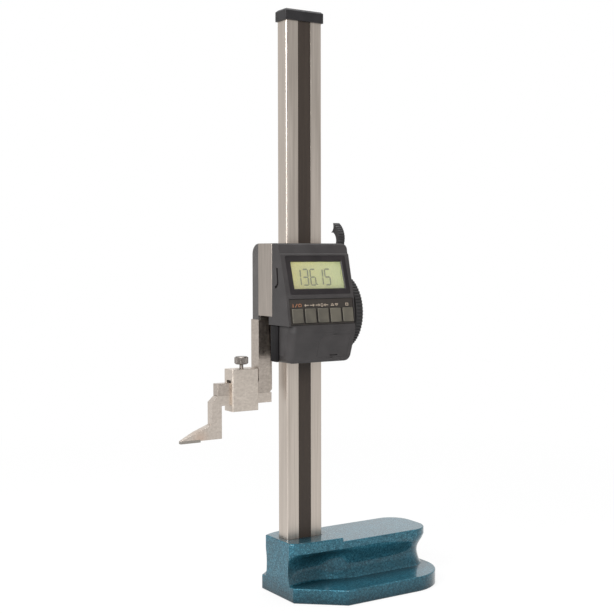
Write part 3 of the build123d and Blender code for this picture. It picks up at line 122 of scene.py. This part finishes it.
# ---------------------------------------------------------------- finishes
def hammertone_enamel():
    """Teal hammer-finish enamel on cast iron: glossy and dimpled, with a fine shimmer of aluminium
    flakes. The face that it rests on is bare ground iron."""
    made, tree, shader = new_material(
        "hammertone_enamel", Roughness=0.36, Specular_IOR_Level=0.05,
        Coat_Weight=1.0, Coat_IOR=1.34, Coat_Roughness=0.05,
    )
    where = {"Vector": place(tree, (2.0, 2.0, 2.0)), "Scale": 1.0}
    cells = add_node(tree, "ShaderNodeTexVoronoi", where)
    fleck = noise(tree, place(tree, (0.55, 0.55, 0.55)), 2.0, 0.6)
    cloud = noise(tree, place(tree, (16, 16, 16)), 2.0)
    body = blend_colours(tree, stretch(tree, cloud, 0.35, 0.65), "#002532", "#003D4F")
    pale = stretch(tree, fleck, 0.36, 0.78)
    flecked = blend_colours(tree, pale, body, "#5593A5")
    dimple = stretch(tree, cells.outputs["Distance"], 0.0, 0.75)
    shade = blend_colours(tree, stretch(tree, dimple, 0.45, 0.9, 0.0, 0.45), flecked, "#002834")
    # painted shade: the colour darkens in the hollows and where they meet the foot
    hollow_shade_mask = stretch(tree, painted_crevice_shade(tree, 30), 0, 0.8, 0, 0.9)
    shaded_hollows = blend_colours(tree, hollow_shade_mask, shade, "#00171F")
    normal = add_node(tree, "ShaderNodeNewGeometry").outputs["Normal"]
    facing = add_node(tree, "ShaderNodeSeparateXYZ", {0: normal}).outputs["Z"]
    underside = stretch(tree, facing, -0.96, -0.99)
    tree.links.new(blend_colours(tree, underside, shaded_hollows, "#8C8883"), shader.inputs["Base Color"])
    flakes = stretch(tree, pale, 0, 1, 0, 0.9)
    metal = add_node(tree, "ShaderNodeMath", {0: flakes, 1: underside}, operation="MAXIMUM")
    tree.links.new(metal.outputs[0], shader.inputs["Metallic"])
    bump(tree, shader, dimple, 0.10)
    return made


def ground_steel(name, grain_mm, pale, dark, roughness=0.34):
    """Surface-ground hardened steel: satin, with long scratches along the way it was ground."""
    made, tree, shader = new_material(name, Metallic=1.0)
    scratch = noise(tree, place(tree, grain_mm), 4.0, 0.65)
    broad = noise(tree, place(tree, [size * 5 for size in grain_mm]), 2.0)
    tone = blend_colours(tree, stretch(tree, scratch, 0.3, 0.7), dark, pale)
    cloudy = blend_colours(tree, stretch(tree, broad, 0.35, 0.7, 0.0, 0.35), tone, dark)
    tree.links.new(cloudy, shader.inputs["Base Color"])
    sheen = stretch(tree, scratch, 0.3, 0.7, roughness - 0.06, roughness + 0.1)
    tree.links.new(sheen, shader.inputs["Roughness"])
    bump(tree, shader, scratch, 0.03)
    return made


def brazed_steel():
    """Ground steel with the copper tint that brazing leaves round the carbide insert."""
    made = ground_steel("ground_steel_scriber", (2.0, 1.4, 2.0), "#D6CCC2", "#B6ACA2", 0.36)
    tree = made.node_tree
    shader = tree.nodes["Principled BSDF"]
    steel = shader.inputs["Base Color"].links[0].from_socket
    spot = add_node(tree, "ShaderNodeTexCoord").outputs["Object"]
    gap = add_node(tree, "ShaderNodeVectorMath", {0: spot, 1: BRAZE_AT}, operation="DISTANCE")
    tint = stretch(tree, gap.outputs["Value"], 9 * MM, 2 * MM, 0.0, 0.25)
    tree.links.new(blend_colours(tree, tint, steel, "#C99C7B"), shader.inputs["Base Color"])
    return made


def moulded_plastic(name, base, worn_and_highlit_tone, roughness=0.5, grit_mm=0.6, relief_mm=0.03, gloss=0.25):
    """Moulded plastic or rubber: fine spark-eroded texture, paler at its edges from wear and a
    painted highlight, and darker in its gaps from painted shade.
    """
    made, tree, shader = new_material(name, IOR=1.5, Specular_IOR_Level=gloss)
    grit = noise(tree, place(tree, (grit_mm,) * 3), 3.0, 0.6)
    cloud = noise(tree, place(tree, (14, 14, 14)), 2.0)
    tone = blend_colours(tree, stretch(tree, cloud, 0.35, 0.65, 0.0, 0.35), base, worn_and_highlit_tone)
    # edges paler, partly from wear and partly as a painted highlight
    rubbed = blend_colours(tree, edge_wear_and_highlight(tree, 0.5), tone, worn_and_highlit_tone)
    # painted shade darkens the gaps and recesses
    shaded = blend_colours(tree, painted_crevice_shade(tree, 2.5), rubbed, "#0C0B0B")
    tree.links.new(shaded, shader.inputs["Base Color"])
    sheen = stretch(tree, grit, 0.3, 0.7, roughness - 0.08, roughness + 0.1)
    tree.links.new(sheen, shader.inputs["Roughness"])
    bump(tree, shader, grit, relief_mm)
    return made


def dark_steel(name, dark, pale):
    """Blacked or dull-plated steel screw: mottled, oily satin."""
    made, tree, shader = new_material(name, Metallic=1.0)
    mottled = noise(tree, place(tree, (0.8, 0.8, 0.8)), 3.0)
    tree.links.new(blend_colours(tree, mottled, dark, pale), shader.inputs["Base Color"])
    tree.links.new(stretch(tree, mottled, 0.3, 0.7, 0.32, 0.46), shader.inputs["Roughness"])
    bump(tree, shader, mottled, 0.01)
    return made


def sintered_carbide():
    """Diamond-lapped tungsten carbide: darker and more even than steel."""
    made, tree, shader = new_material("sintered_carbide", Metallic=1.0)
    grain = noise(tree, place(tree, (0.5, 0.5, 0.5)), 2.0)
    tree.links.new(blend_colours(tree, grain, "#8A857E", "#A29D95"), shader.inputs["Base Color"])
    tree.links.new(stretch(tree, grain, 0.3, 0.7, 0.22, 0.32), shader.inputs["Roughness"])
    return made


def laminated_strip():
    """Dark polyester film laminated over the scale's copper pattern: satin, rubbed lengthwise."""
    made, tree, shader = new_material("laminated_strip", IOR=1.5, Specular_IOR_Level=0.25)
    rub = noise(tree, place(tree, (0.9, 0.9, 60)), 3.0)
    tree.links.new(blend_colours(tree, rub, "#26201D", "#383029"), shader.inputs["Base Color"])
    tree.links.new(stretch(tree, rub, 0.3, 0.7, 0.36, 0.5), shader.inputs["Roughness"])
    return made


def clear_acrylic():
    """Polished acrylic window: clear, with a weak sharp reflection."""
    made, tree, shader = new_material("clear_acrylic", IOR=1.49, Alpha=0.1, Roughness=0.06)
    haze = noise(tree, place(tree, (6, 6, 6)), 2.0)
    tree.links.new(blend_colours(tree, haze, "#D8DCC8", "#E6E9D8"), shader.inputs["Base Color"])
    return made


def reflective_lcd():
    """Reflective twisted-nematic display: yellow at its left, greener at its right, fine-grained."""
    made, tree, shader = new_material("reflective_lcd", Roughness=0.5, Specular_IOR_Level=0.2)
    spot = add_node(tree, "ShaderNodeTexCoord").outputs["Object"]
    x = add_node(tree, "ShaderNodeSeparateXYZ", {0: spot}).outputs["X"]
    ground = blend_colours(tree, stretch(tree, x, -30 * MM, 20 * MM), "#F4EBA0", "#E8EFB8")
    fine = noise(tree, place(tree, (1.2, 1.2, 1.2)), 2.0)
    tone = blend_colours(tree, stretch(tree, fine, 0.3, 0.8, 0.0, 0.3), ground, "#B8B873")
    tree.links.new(tone, shader.inputs["Base Color"])
    return made


def flat_ink(name, first, second, grain_mm):
    """Liquid-crystal segments or pad-printed marks: matt, a little uneven."""
    made, tree, shader = new_material(name, Roughness=0.55, Specular_IOR_Level=0.3)
    uneven = noise(tree, place(tree, (grain_mm,) * 3), 2.0)
    tree.links.new(blend_colours(tree, uneven, first, second), shader.inputs["Base Color"])
    return made


def glass_epoxy():
    """Green solder mask on a glass-epoxy circuit board."""
    made, tree, shader = new_material("glass_epoxy", Roughness=0.35)
    weave = noise(tree, place(tree, (1.0, 1.0, 1.0)), 2.0)
    tree.links.new(blend_colours(tree, weave, "#1E4A2C", "#2C6A3E"), shader.inputs["Base Color"])
    return made


def sintered_bronze():
    """Sintered bronze bush: warm, porous, oily."""
    made, tree, shader = new_material("sintered_bronze", Metallic=1.0)
    pores = noise(tree, place(tree, (0.4, 0.4, 0.4)), 3.0)
    tree.links.new(blend_colours(tree, pores, "#8A6A3A", "#B08A50"), shader.inputs["Base Color"])
    tree.links.new(stretch(tree, pores, 0.3, 0.7, 0.35, 0.5), shader.inputs["Roughness"])
    return made


BRAZE_AT = (-93.5 * MM, 4 * MM, 139.5 * MM)
ENAMEL = hammertone_enamel()
COLUMN_STEEL = ground_steel("ground_steel_column", (1.3, 1.3, 90), "#D2C8BE", "#B4AAA0")
HEAD_STEEL = ground_steel("ground_steel_head", (1.3, 1.3, 40), "#B6ACA3", "#968E86", 0.36)
ARM_STEEL = ground_steel("ground_steel_arm", (2.5, 1.6, 1.6), "#C4BAB0", "#A1978E", 0.33)
CLAMP_STEEL = ground_steel("ground_steel_clamp", (2.5, 1.6, 1.6), "#D8CEC3", "#BBB1A7", 0.4)
SCRIBER_STEEL = brazed_steel()
HOUSING_ABS = moulded_plastic("abs_charcoal", "#2E2C2C", "#3F3C3C")
COVER_ABS = moulded_plastic("abs_cover_grey", "#444241", "#504E4D", 0.45)
BLACK_ABS = moulded_plastic("abs_black", "#1E1D1E", "#302E2F", 0.42)
WHEEL_ABS = moulded_plastic("abs_wheel_black", "#232222", "#3A3838", 0.45)
LEVER_ABS = moulded_plastic("phenolic_lever_black", "#1F1E1F", "#383637", 0.38)
BEZEL_ABS = moulded_plastic("abs_bezel_dark", "#1A1718", "#2E2A2B", 0.4, 0.8, 0.02)
KEY_RUBBER = moulded_plastic("silicone_key_grey", "#403D37", "#6A6559", 0.6, 0.5, 0.02)
PANEL_FILM = moulded_plastic("polycarbonate_label_film", "#2B2724", "#34302C", 0.5, 0.5, 0.01)
PORT_RUBBER = moulded_plastic("nitrile_rubber_port", "#121112", "#1E1D1E", 0.5, gloss=0.1)
BLACKED = dark_steel("black_oxide_steel", "#2A2A2C", "#4B4A4A")
KNURLED = dark_steel("dull_plated_steel", "#6C6763", "#8F8984")
CARBIDE = sintered_carbide()
STRIP_FILM = laminated_strip()
ACRYLIC = clear_acrylic()
LCD_GROUND = reflective_lcd()
LCD_INK = flat_ink("dark_segments", "#484A38", "#5E6048", 2.0)
TAN_INK = flat_ink("pad_print_tan", "#8A7E70", "#A69888", 0.7)
ORANGE_INK = flat_ink("pad_print_orange", "#8A5B41", "#A7714F", 0.7)
BOARD = glass_epoxy()
BRONZE = sintered_bronze()

NODE_FINISH = {
    "base_casting": ENAMEL,
    "column_beam": COLUMN_STEEL,
    "column_screws": BLACKED,
    "scale_strip": STRIP_FILM,
    "column_cap": BLACK_ABS,
    "cap_screw": BLACKED,
    "slider_body": HEAD_STEEL,
    "guide_gib": BRONZE,
    "gib_screws": BLACKED,
    "shaft_bushes": BRONZE,
    "read_head": BLACK_ABS,
    "rear_cover": COVER_ABS,
    "cover_screws": BLACKED,
    "measuring_jaw": ARM_STEEL,
    "jaw_screws": BLACKED,
    "clamp_box": CLAMP_STEEL,
    "clamp_pad": BRONZE,
    "clamp_thumbscrew": KNURLED,
    "scriber": SCRIBER_STEEL,
    "carbide_tip": CARBIDE,
    "display_housing": HOUSING_ABS,
    "housing_screws": BLACKED,
    "display_bezel": BEZEL_ABS,
    "display_glass": ACRYLIC,
    "display_panel": LCD_GROUND,
    "key_panel": PANEL_FILM,
    "button_1": KEY_RUBBER,
    "button_2": KEY_RUBBER,
    "button_3": KEY_RUBBER,
    "button_4": KEY_RUBBER,
    "button_5": KEY_RUBBER,
    "key_board": BOARD,
    "circuit_board": BOARD,
    "battery_lid": HOUSING_ABS,
    "battery": HEAD_STEEL,
    "data_port_cover": PORT_RUBBER,
    "hand_wheel": WHEEL_ABS,
    "wheel_shaft": HEAD_STEEL,
    "drive_roller": HEAD_STEEL,
    "wheel_screw": BLACKED,
    "clamp_lever": LEVER_ABS,
    "lock_stud": BLACKED,
}
for name, node in nodes.items():
    node.data.materials.clear()
    node.data.materials.append(NODE_FINISH[name])


# ---------------------------------------------------------------- broken edges
WELD_MM = 0.002
SHARP_ANGLE = radians(35)
EDGE_MM = {
    "column_beam": 0.12,
    "column_cap": 0.3,
    "slider_body": 0.35,
    "rear_cover": 0.3,
    "measuring_jaw": 0.35,
    "clamp_box": 0.3,
    "scriber": 0.3,
    "display_housing": 0.35,
    "battery_lid": 0.2,
    "data_port_cover": 0.3,
    "hand_wheel": 0.2,
    "clamp_lever": 0.5,
}
for name, width in EDGE_MM.items():
    weld = nodes[name].modifiers.new("weld", "WELD")
    weld.merge_threshold = WELD_MM * MM
    bevel = nodes[name].modifiers.new("broken_edges", "BEVEL")
    bevel.width = width * MM
    bevel.segments = 2
    bevel.limit_method = "ANGLE"
    bevel.angle_limit = SHARP_ANGLE
    bevel.harden_normals = True


# ---------------------------------------------------------------- small pieces
def piece(name, mesh, body, material):
    """Turn a bmesh into a named piece that rides on a body."""
    data = bpy.data.meshes.new(name)
    mesh.to_mesh(data)
    mesh.free()
    data.materials.append(material)
    made = bpy.data.objects.new(name, data)
    bpy.context.scene.collection.objects.link(made)
    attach(made, body)
    return made


def slope_matrix(top, foot):
    """Frame on a sloping face of the housing: x along the display, y up the slope, z out of it."""
    rise = Vector((0, top[0] - foot[0], top[1] - foot[1])).normalized()
    out = Vector((1, 0, 0)).cross(rise)
    turn = Matrix((Vector((1, 0, 0)), rise, out)).transposed().to_4x4()
    return Matrix.Translation(Vector((0, foot[0], foot[1])) * MM) @ turn


def add_slab(mesh, outline, low, high, matrix):
    """A thin slab over an outline in millimetres, from height low to high on a sloping face."""
    rings = [
        [mesh.verts.new(matrix @ (Vector((x, y, level)) * MM)) for x, y in outline]
        for level in (low, high)
    ]
    count = len(outline)
    mesh.faces.new(list(reversed(rings[0])))
    mesh.faces.new(rings[1])
    for i in range(count):
        after = (i + 1) % count
        mesh.faces.new((rings[0][i], rings[0][after], rings[1][after], rings[1][i]))


# corners of the housing's side view, as (Y, Z) in millimetres
WINDOW_TOP, WINDOW_FOOT, KEYS_FOOT = (-31.6, 287.4), (-41.6, 253.6), (-45.4, 229.4)
WINDOW = slope_matrix(WINDOW_TOP, WINDOW_FOOT)
KEYS = slope_matrix(WINDOW_FOOT, KEYS_FOOT)

# display figures: seven-segment shapes behind the window
SHOWN = "13615"
BEFORE_POINT = 3
FIGURE_W, FIGURE_H, BAR = 4.7, 13.2, 1.1
FIGURE_SLANT = 0.06
FIGURE_X, FIGURE_Y = -26.2, 10.0
FIGURE_PITCH = 7.1
FIGURE_LOW, FIGURE_HIGH = -2.28, -2.2
BAR_GAP = 0.12
BAR_SPOTS = {
    "a": ((0, 1), (1, 1)), "b": ((1, 1), (1, 0.5)), "c": ((1, 0.5), (1, 0)), "d": ((0, 0), (1, 0)),
    "e": ((0, 0.5), (0, 0)), "f": ((0, 1), (0, 0.5)), "g": ((0, 0.5), (1, 0.5)),
}
FIGURES = {"1": "bc", "3": "abcdg", "6": "acdefg", "5": "acdfg"}


def bar_outline(start, end):
    """Outline of one segment: a bar with pointed ends."""
    along = Vector((end[0] - start[0], end[1] - start[1]))
    way = along.normalized()
    side = Vector((-way.y, way.x)) * BAR / 2
    first = Vector(start) + way * BAR_GAP
    last = Vector(end) - way * BAR_GAP
    shape = (
        first, first + way * BAR / 2 + side, last - way * BAR / 2 + side, last,
        last - way * BAR / 2 - side, first + way * BAR / 2 - side,
    )
    return [(p.x + p.y * FIGURE_SLANT, p.y) for p in shape]


figures = bmesh.new()
for place_no, figure in enumerate(SHOWN):
    left = FIGURE_X + FIGURE_PITCH * place_no
    for bar in FIGURES[figure]:
        ends = [(x * FIGURE_W, y * FIGURE_H) for x, y in BAR_SPOTS[bar]]
        outline = [(x + left, y + FIGURE_Y) for x, y in bar_outline(*ends)]
        add_slab(figures, outline, FIGURE_LOW, FIGURE_HIGH, WINDOW)
point_x = FIGURE_X + FIGURE_PITCH * BEFORE_POINT - (FIGURE_PITCH - FIGURE_W) / 2
point_x0, point_x1 = point_x - BAR / 2, point_x + BAR / 2
point_y0, point_y1 = FIGURE_Y, FIGURE_Y + BAR
point = [
    (point_x0, point_y0), (point_x1, point_y0), (point_x1, point_y1), (point_x0, point_y1),
]
add_slab(figures, point, FIGURE_LOW, FIGURE_HIGH, WINDOW)
piece("display_figures", figures, "slider", LCD_INK)

# plain marks printed above the keys: each is a set of strokes, in millimetres from its middle
MARK_Y = 17.4
MARK_LOW, MARK_HIGH = -0.33, -0.27
STROKE = 0.5
MARK_STRETCH = 1.25       # marks are drawn this much wider than their strokes give
FIRST_KEY_X, KEY_PITCH, KEY_COUNT = -29.9, 12.15, 5
KEY_XS = [FIRST_KEY_X + KEY_PITCH * place_no for place_no in range(KEY_COUNT)]
BAR_RING = [
    [(-2.6, -1.1), (-2.6, 1.1)], [(-0.9, -1.1), (0.5, 1.1)],
    [(2.6 + 1.1 * sin(turn * pi / 6), 1.1 * cos(turn * pi / 6)) for turn in range(13)],
]
ARROW_RIGHT = [[(-1.5, 0), (1.5, 0)], [(0.7, 0.8), (1.5, 0)], [(0.7, -0.8), (1.5, 0)]]
ARROW_LEFT = [[(-x, y) for x, y in line] for line in ARROW_RIGHT]
OVAL = [[(0.8 * sin(turn * pi / 5), 1.15 * cos(turn * pi / 5)) for turn in range(11)]]
PEAK = [[(-1.1, -0.7), (0, 0.9), (1.1, -0.7), (-1.1, -0.7)]]
SQUARE = [[(-0.9, -0.9), (-0.9, 0.9), (0.9, 0.9), (0.9, -0.9), (-0.9, -0.9)]]


def moved(lines, dx, flip=1):
    """Strokes shifted sideways, and turned upside down with flip -1."""
    return [[(x + dx, y * flip) for x, y in line] for line in lines]


MARKS = [
    BAR_RING,
    moved(ARROW_LEFT, -2.2) + moved(ARROW_RIGHT, 2.2),
    moved(ARROW_RIGHT, -3.2) + OVAL + moved(ARROW_LEFT, 3.2),
    moved(PEAK, -1.6) + moved(PEAK, 1.6, -1),
    SQUARE,
]


def add_strokes(mesh, lines, x, y, matrix):
    """Each stroke as thin slabs, one for each of its straight runs."""
    for line in lines:
        spots = [Vector((across * MARK_STRETCH, up)) for across, up in line]
        for start, end in zip(spots, spots[1:]):
            way = (end - start).normalized() * STROKE / 2
            side = Vector((-way.y, way.x))
            first, last = start - way, end + way
            run = [first - side, last - side, last + side, first + side]
            add_slab(mesh, [(p.x + x, p.y + y) for p in run], MARK_LOW, MARK_HIGH, matrix)


for place_no, (x, lines) in enumerate(zip(KEY_XS, MARKS), start=1):
    mark = bmesh.new()
    add_strokes(mark, lines, x, MARK_Y, KEYS)
    ink = ORANGE_INK if place_no == 1 else TAN_INK
    piece(f"key_mark_{place_no}", mark, "slider", ink)

# straight knurl round the thumbscrew's head
KNURL_AT = Vector((-53.05, 6.525, 0))
KNURL_R, KNURL_PROUD, KNURL_SUNK = 5.4, 0.35, 0.1
KNURL_TEETH = 30
TOOTH_SHARE = 0.8         # of its pitch that a tooth fills
KNURL_Z0, KNURL_Z1 = 197.9, 202.6
knurl = bmesh.new()
for tooth in range(KNURL_TEETH):
    turn = 2 * pi * tooth / KNURL_TEETH
    half = pi / KNURL_TEETH * TOOTH_SHARE
    root, crest = KNURL_R - KNURL_SUNK, KNURL_R + KNURL_PROUD
    rim = [(root, turn - half), (crest, turn), (root, turn + half)]
    corners = [(KNURL_AT.x + r * cos(t), KNURL_AT.y + r * sin(t)) for r, t in rim]
    add_slab(knurl, corners, KNURL_Z0, KNURL_Z1, Matrix())
piece("thumbscrew_knurl", knurl, "thumbscrew", KNURLED)


# ---------------------------------------------------------------- floor, light and camera
def flat_sheet(name, half, height):
    """A level square sheet, centred under the object."""
    data = bpy.data.meshes.new(name)
    signs = ((-1, -1), (1, -1), (1, 1), (-1, 1))
    corners = [(x * half, y * half, height) for x, y in signs]
    data.from_pydata(corners, [], [(0, 1, 2, 3)])
    made = bpy.data.objects.new(name, data)
    bpy.context.scene.collection.objects.link(made)
    return made


def seen_directly(tree):
    """1 for what the camera sees, also in metal or through glass, and 0 for light on the object."""
    path = add_node(tree, "ShaderNodeLightPath").outputs
    mirrored = add_node(
        tree, "ShaderNodeMath", {0: path["Is Glossy Ray"], 1: path["Is Transmission Ray"]},
        operation="MAXIMUM",
    ).outputs[0]
    return add_node(
        tree, "ShaderNodeMath", {0: path["Is Camera Ray"], 1: mirrored}, operation="MAXIMUM",
    ).outputs[0]


# Paper that stays white far off, and near the object keeps a share of its shadow
FLOOR_HALF, FLOOR_Z = 12.0, -0.0002
FLOOR_NEAR, FLOOR_FAR = 0.2, 0.9
NEAR_WHITE = 0.85
floor_paper = bpy.data.materials.new("white_paper")
floor_paper.use_nodes = True
paper = floor_paper.node_tree
paper.nodes["Principled BSDF"].inputs["Base Color"].default_value = colour("#E2E2E2")
paper.nodes["Principled BSDF"].inputs["Roughness"].default_value = 0.9
glow = add_node(paper, "ShaderNodeEmission", {"Color": (1, 1, 1, 1), "Strength": 1.0}).outputs[0]
spot = add_node(paper, "ShaderNodeTexCoord").outputs["Object"]
away = add_node(paper, "ShaderNodeVectorMath", {0: spot}, operation="LENGTH").outputs["Value"]
whitened = stretch(paper, away, FLOOR_NEAR, FLOOR_FAR, NEAR_WHITE, 1.0)
floor_share = add_node(
    paper, "ShaderNodeMath", {0: seen_directly(paper), 1: whitened}, operation="MULTIPLY",
).outputs[0]
lit = add_node(
    paper, "ShaderNodeMixShader",
    {0: floor_share, 1: paper.nodes["Principled BSDF"].outputs[0], 2: glow},
).outputs[0]
paper.links.new(lit, paper.nodes["Material Output"].inputs["Surface"])
floor = flat_sheet("floor", FLOOR_HALF, FLOOR_Z)
floor.data.materials.append(floor_paper)

# Metal and enamel see a room that is white behind the object and greyer on the near side
ROOM_BEHIND = (0.4, 0.92, 0)
ROOM_NEAR, ROOM_FAR = 0.42, 1.0
ROOM_LIGHT = 0.35         # what the room adds to the lamps on matt surfaces
world = bpy.data.worlds.new("studio")
bpy.context.scene.world = world
world.use_nodes = True
sky = world.node_tree
view = add_node(sky, "ShaderNodeTexCoord").outputs["Generated"]
aside = add_node(sky, "ShaderNodeVectorMath", {0: view, 1: ROOM_BEHIND}, operation="DOT_PRODUCT")
room = stretch(sky, aside.outputs["Value"], -1.0, 1.0, ROOM_NEAR, ROOM_FAR)
camera_ray = add_node(sky, "ShaderNodeLightPath").outputs["Is Camera Ray"]
white = add_node(sky, "ShaderNodeMath", {0: camera_ray, 1: room}, operation="MAXIMUM").outputs[0]
sky_share = add_node(
    sky, "ShaderNodeMix", {0: seen_directly(sky), 2: ROOM_LIGHT, 3: white}, data_type="FLOAT",
).outputs[0]
sky.nodes["Background"].inputs["Color"].default_value = (1, 1, 1, 1)
sky.links.new(sky_share, sky.nodes["Background"].inputs["Strength"])


def soft_box(name, at, towards, size, watts):
    """A square area lamp."""
    data = bpy.data.lights.new(name, "AREA")
    data.size = size
    data.energy = watts
    lamp = bpy.data.objects.new(name, data)
    lamp.location = at
    lamp.rotation_euler = (Vector(towards) - Vector(at)).to_track_quat("-Z", "Y").to_euler()
    bpy.context.scene.collection.objects.link(lamp)


soft_box("key_left", (-1.7, -0.6, 1.2), (0, 0, 0.2), 0.9, 30)
soft_box("front", (-1.1, -1.7, 0.9), (0, 0, 0.2), 0.8, 36)
soft_box("top", (0.1, 0.1, 1.8), (0, 0, 0.1), 1.0, 22)

# Pinhole camera: its place, its turns from looking along +Y, and its focal length in pixels
CAMERA_AT = Vector((-507.5, -804.4, 288.2)) * MM
YAW, PITCH, ROLL = radians(32.61), radians(2.72), radians(-0.09)
FOCAL_PX = 1129.3
FRAME_PX = 614
SENSOR_MM = 36.0
forward = Vector((sin(YAW) * cos(PITCH), cos(YAW) * cos(PITCH), -sin(PITCH)))
level = Vector((cos(YAW), -sin(YAW), 0))
upward = level.cross(forward)
right = level * cos(ROLL) + upward * sin(ROLL)
upward = right.cross(forward)
camera_data = bpy.data.cameras.new("camera")
camera_data.sensor_width = SENSOR_MM
camera_data.lens = FOCAL_PX / FRAME_PX * SENSOR_MM
camera = bpy.data.objects.new("camera", camera_data)
facing = Matrix((right, upward, -forward)).transposed().to_4x4()
camera.matrix_world = Matrix.Translation(CAMERA_AT) @ facing
bpy.context.scene.collection.objects.link(camera)
bpy.context.scene.camera = camera
bpy.context.scene.view_settings.view_transform = "Standard"
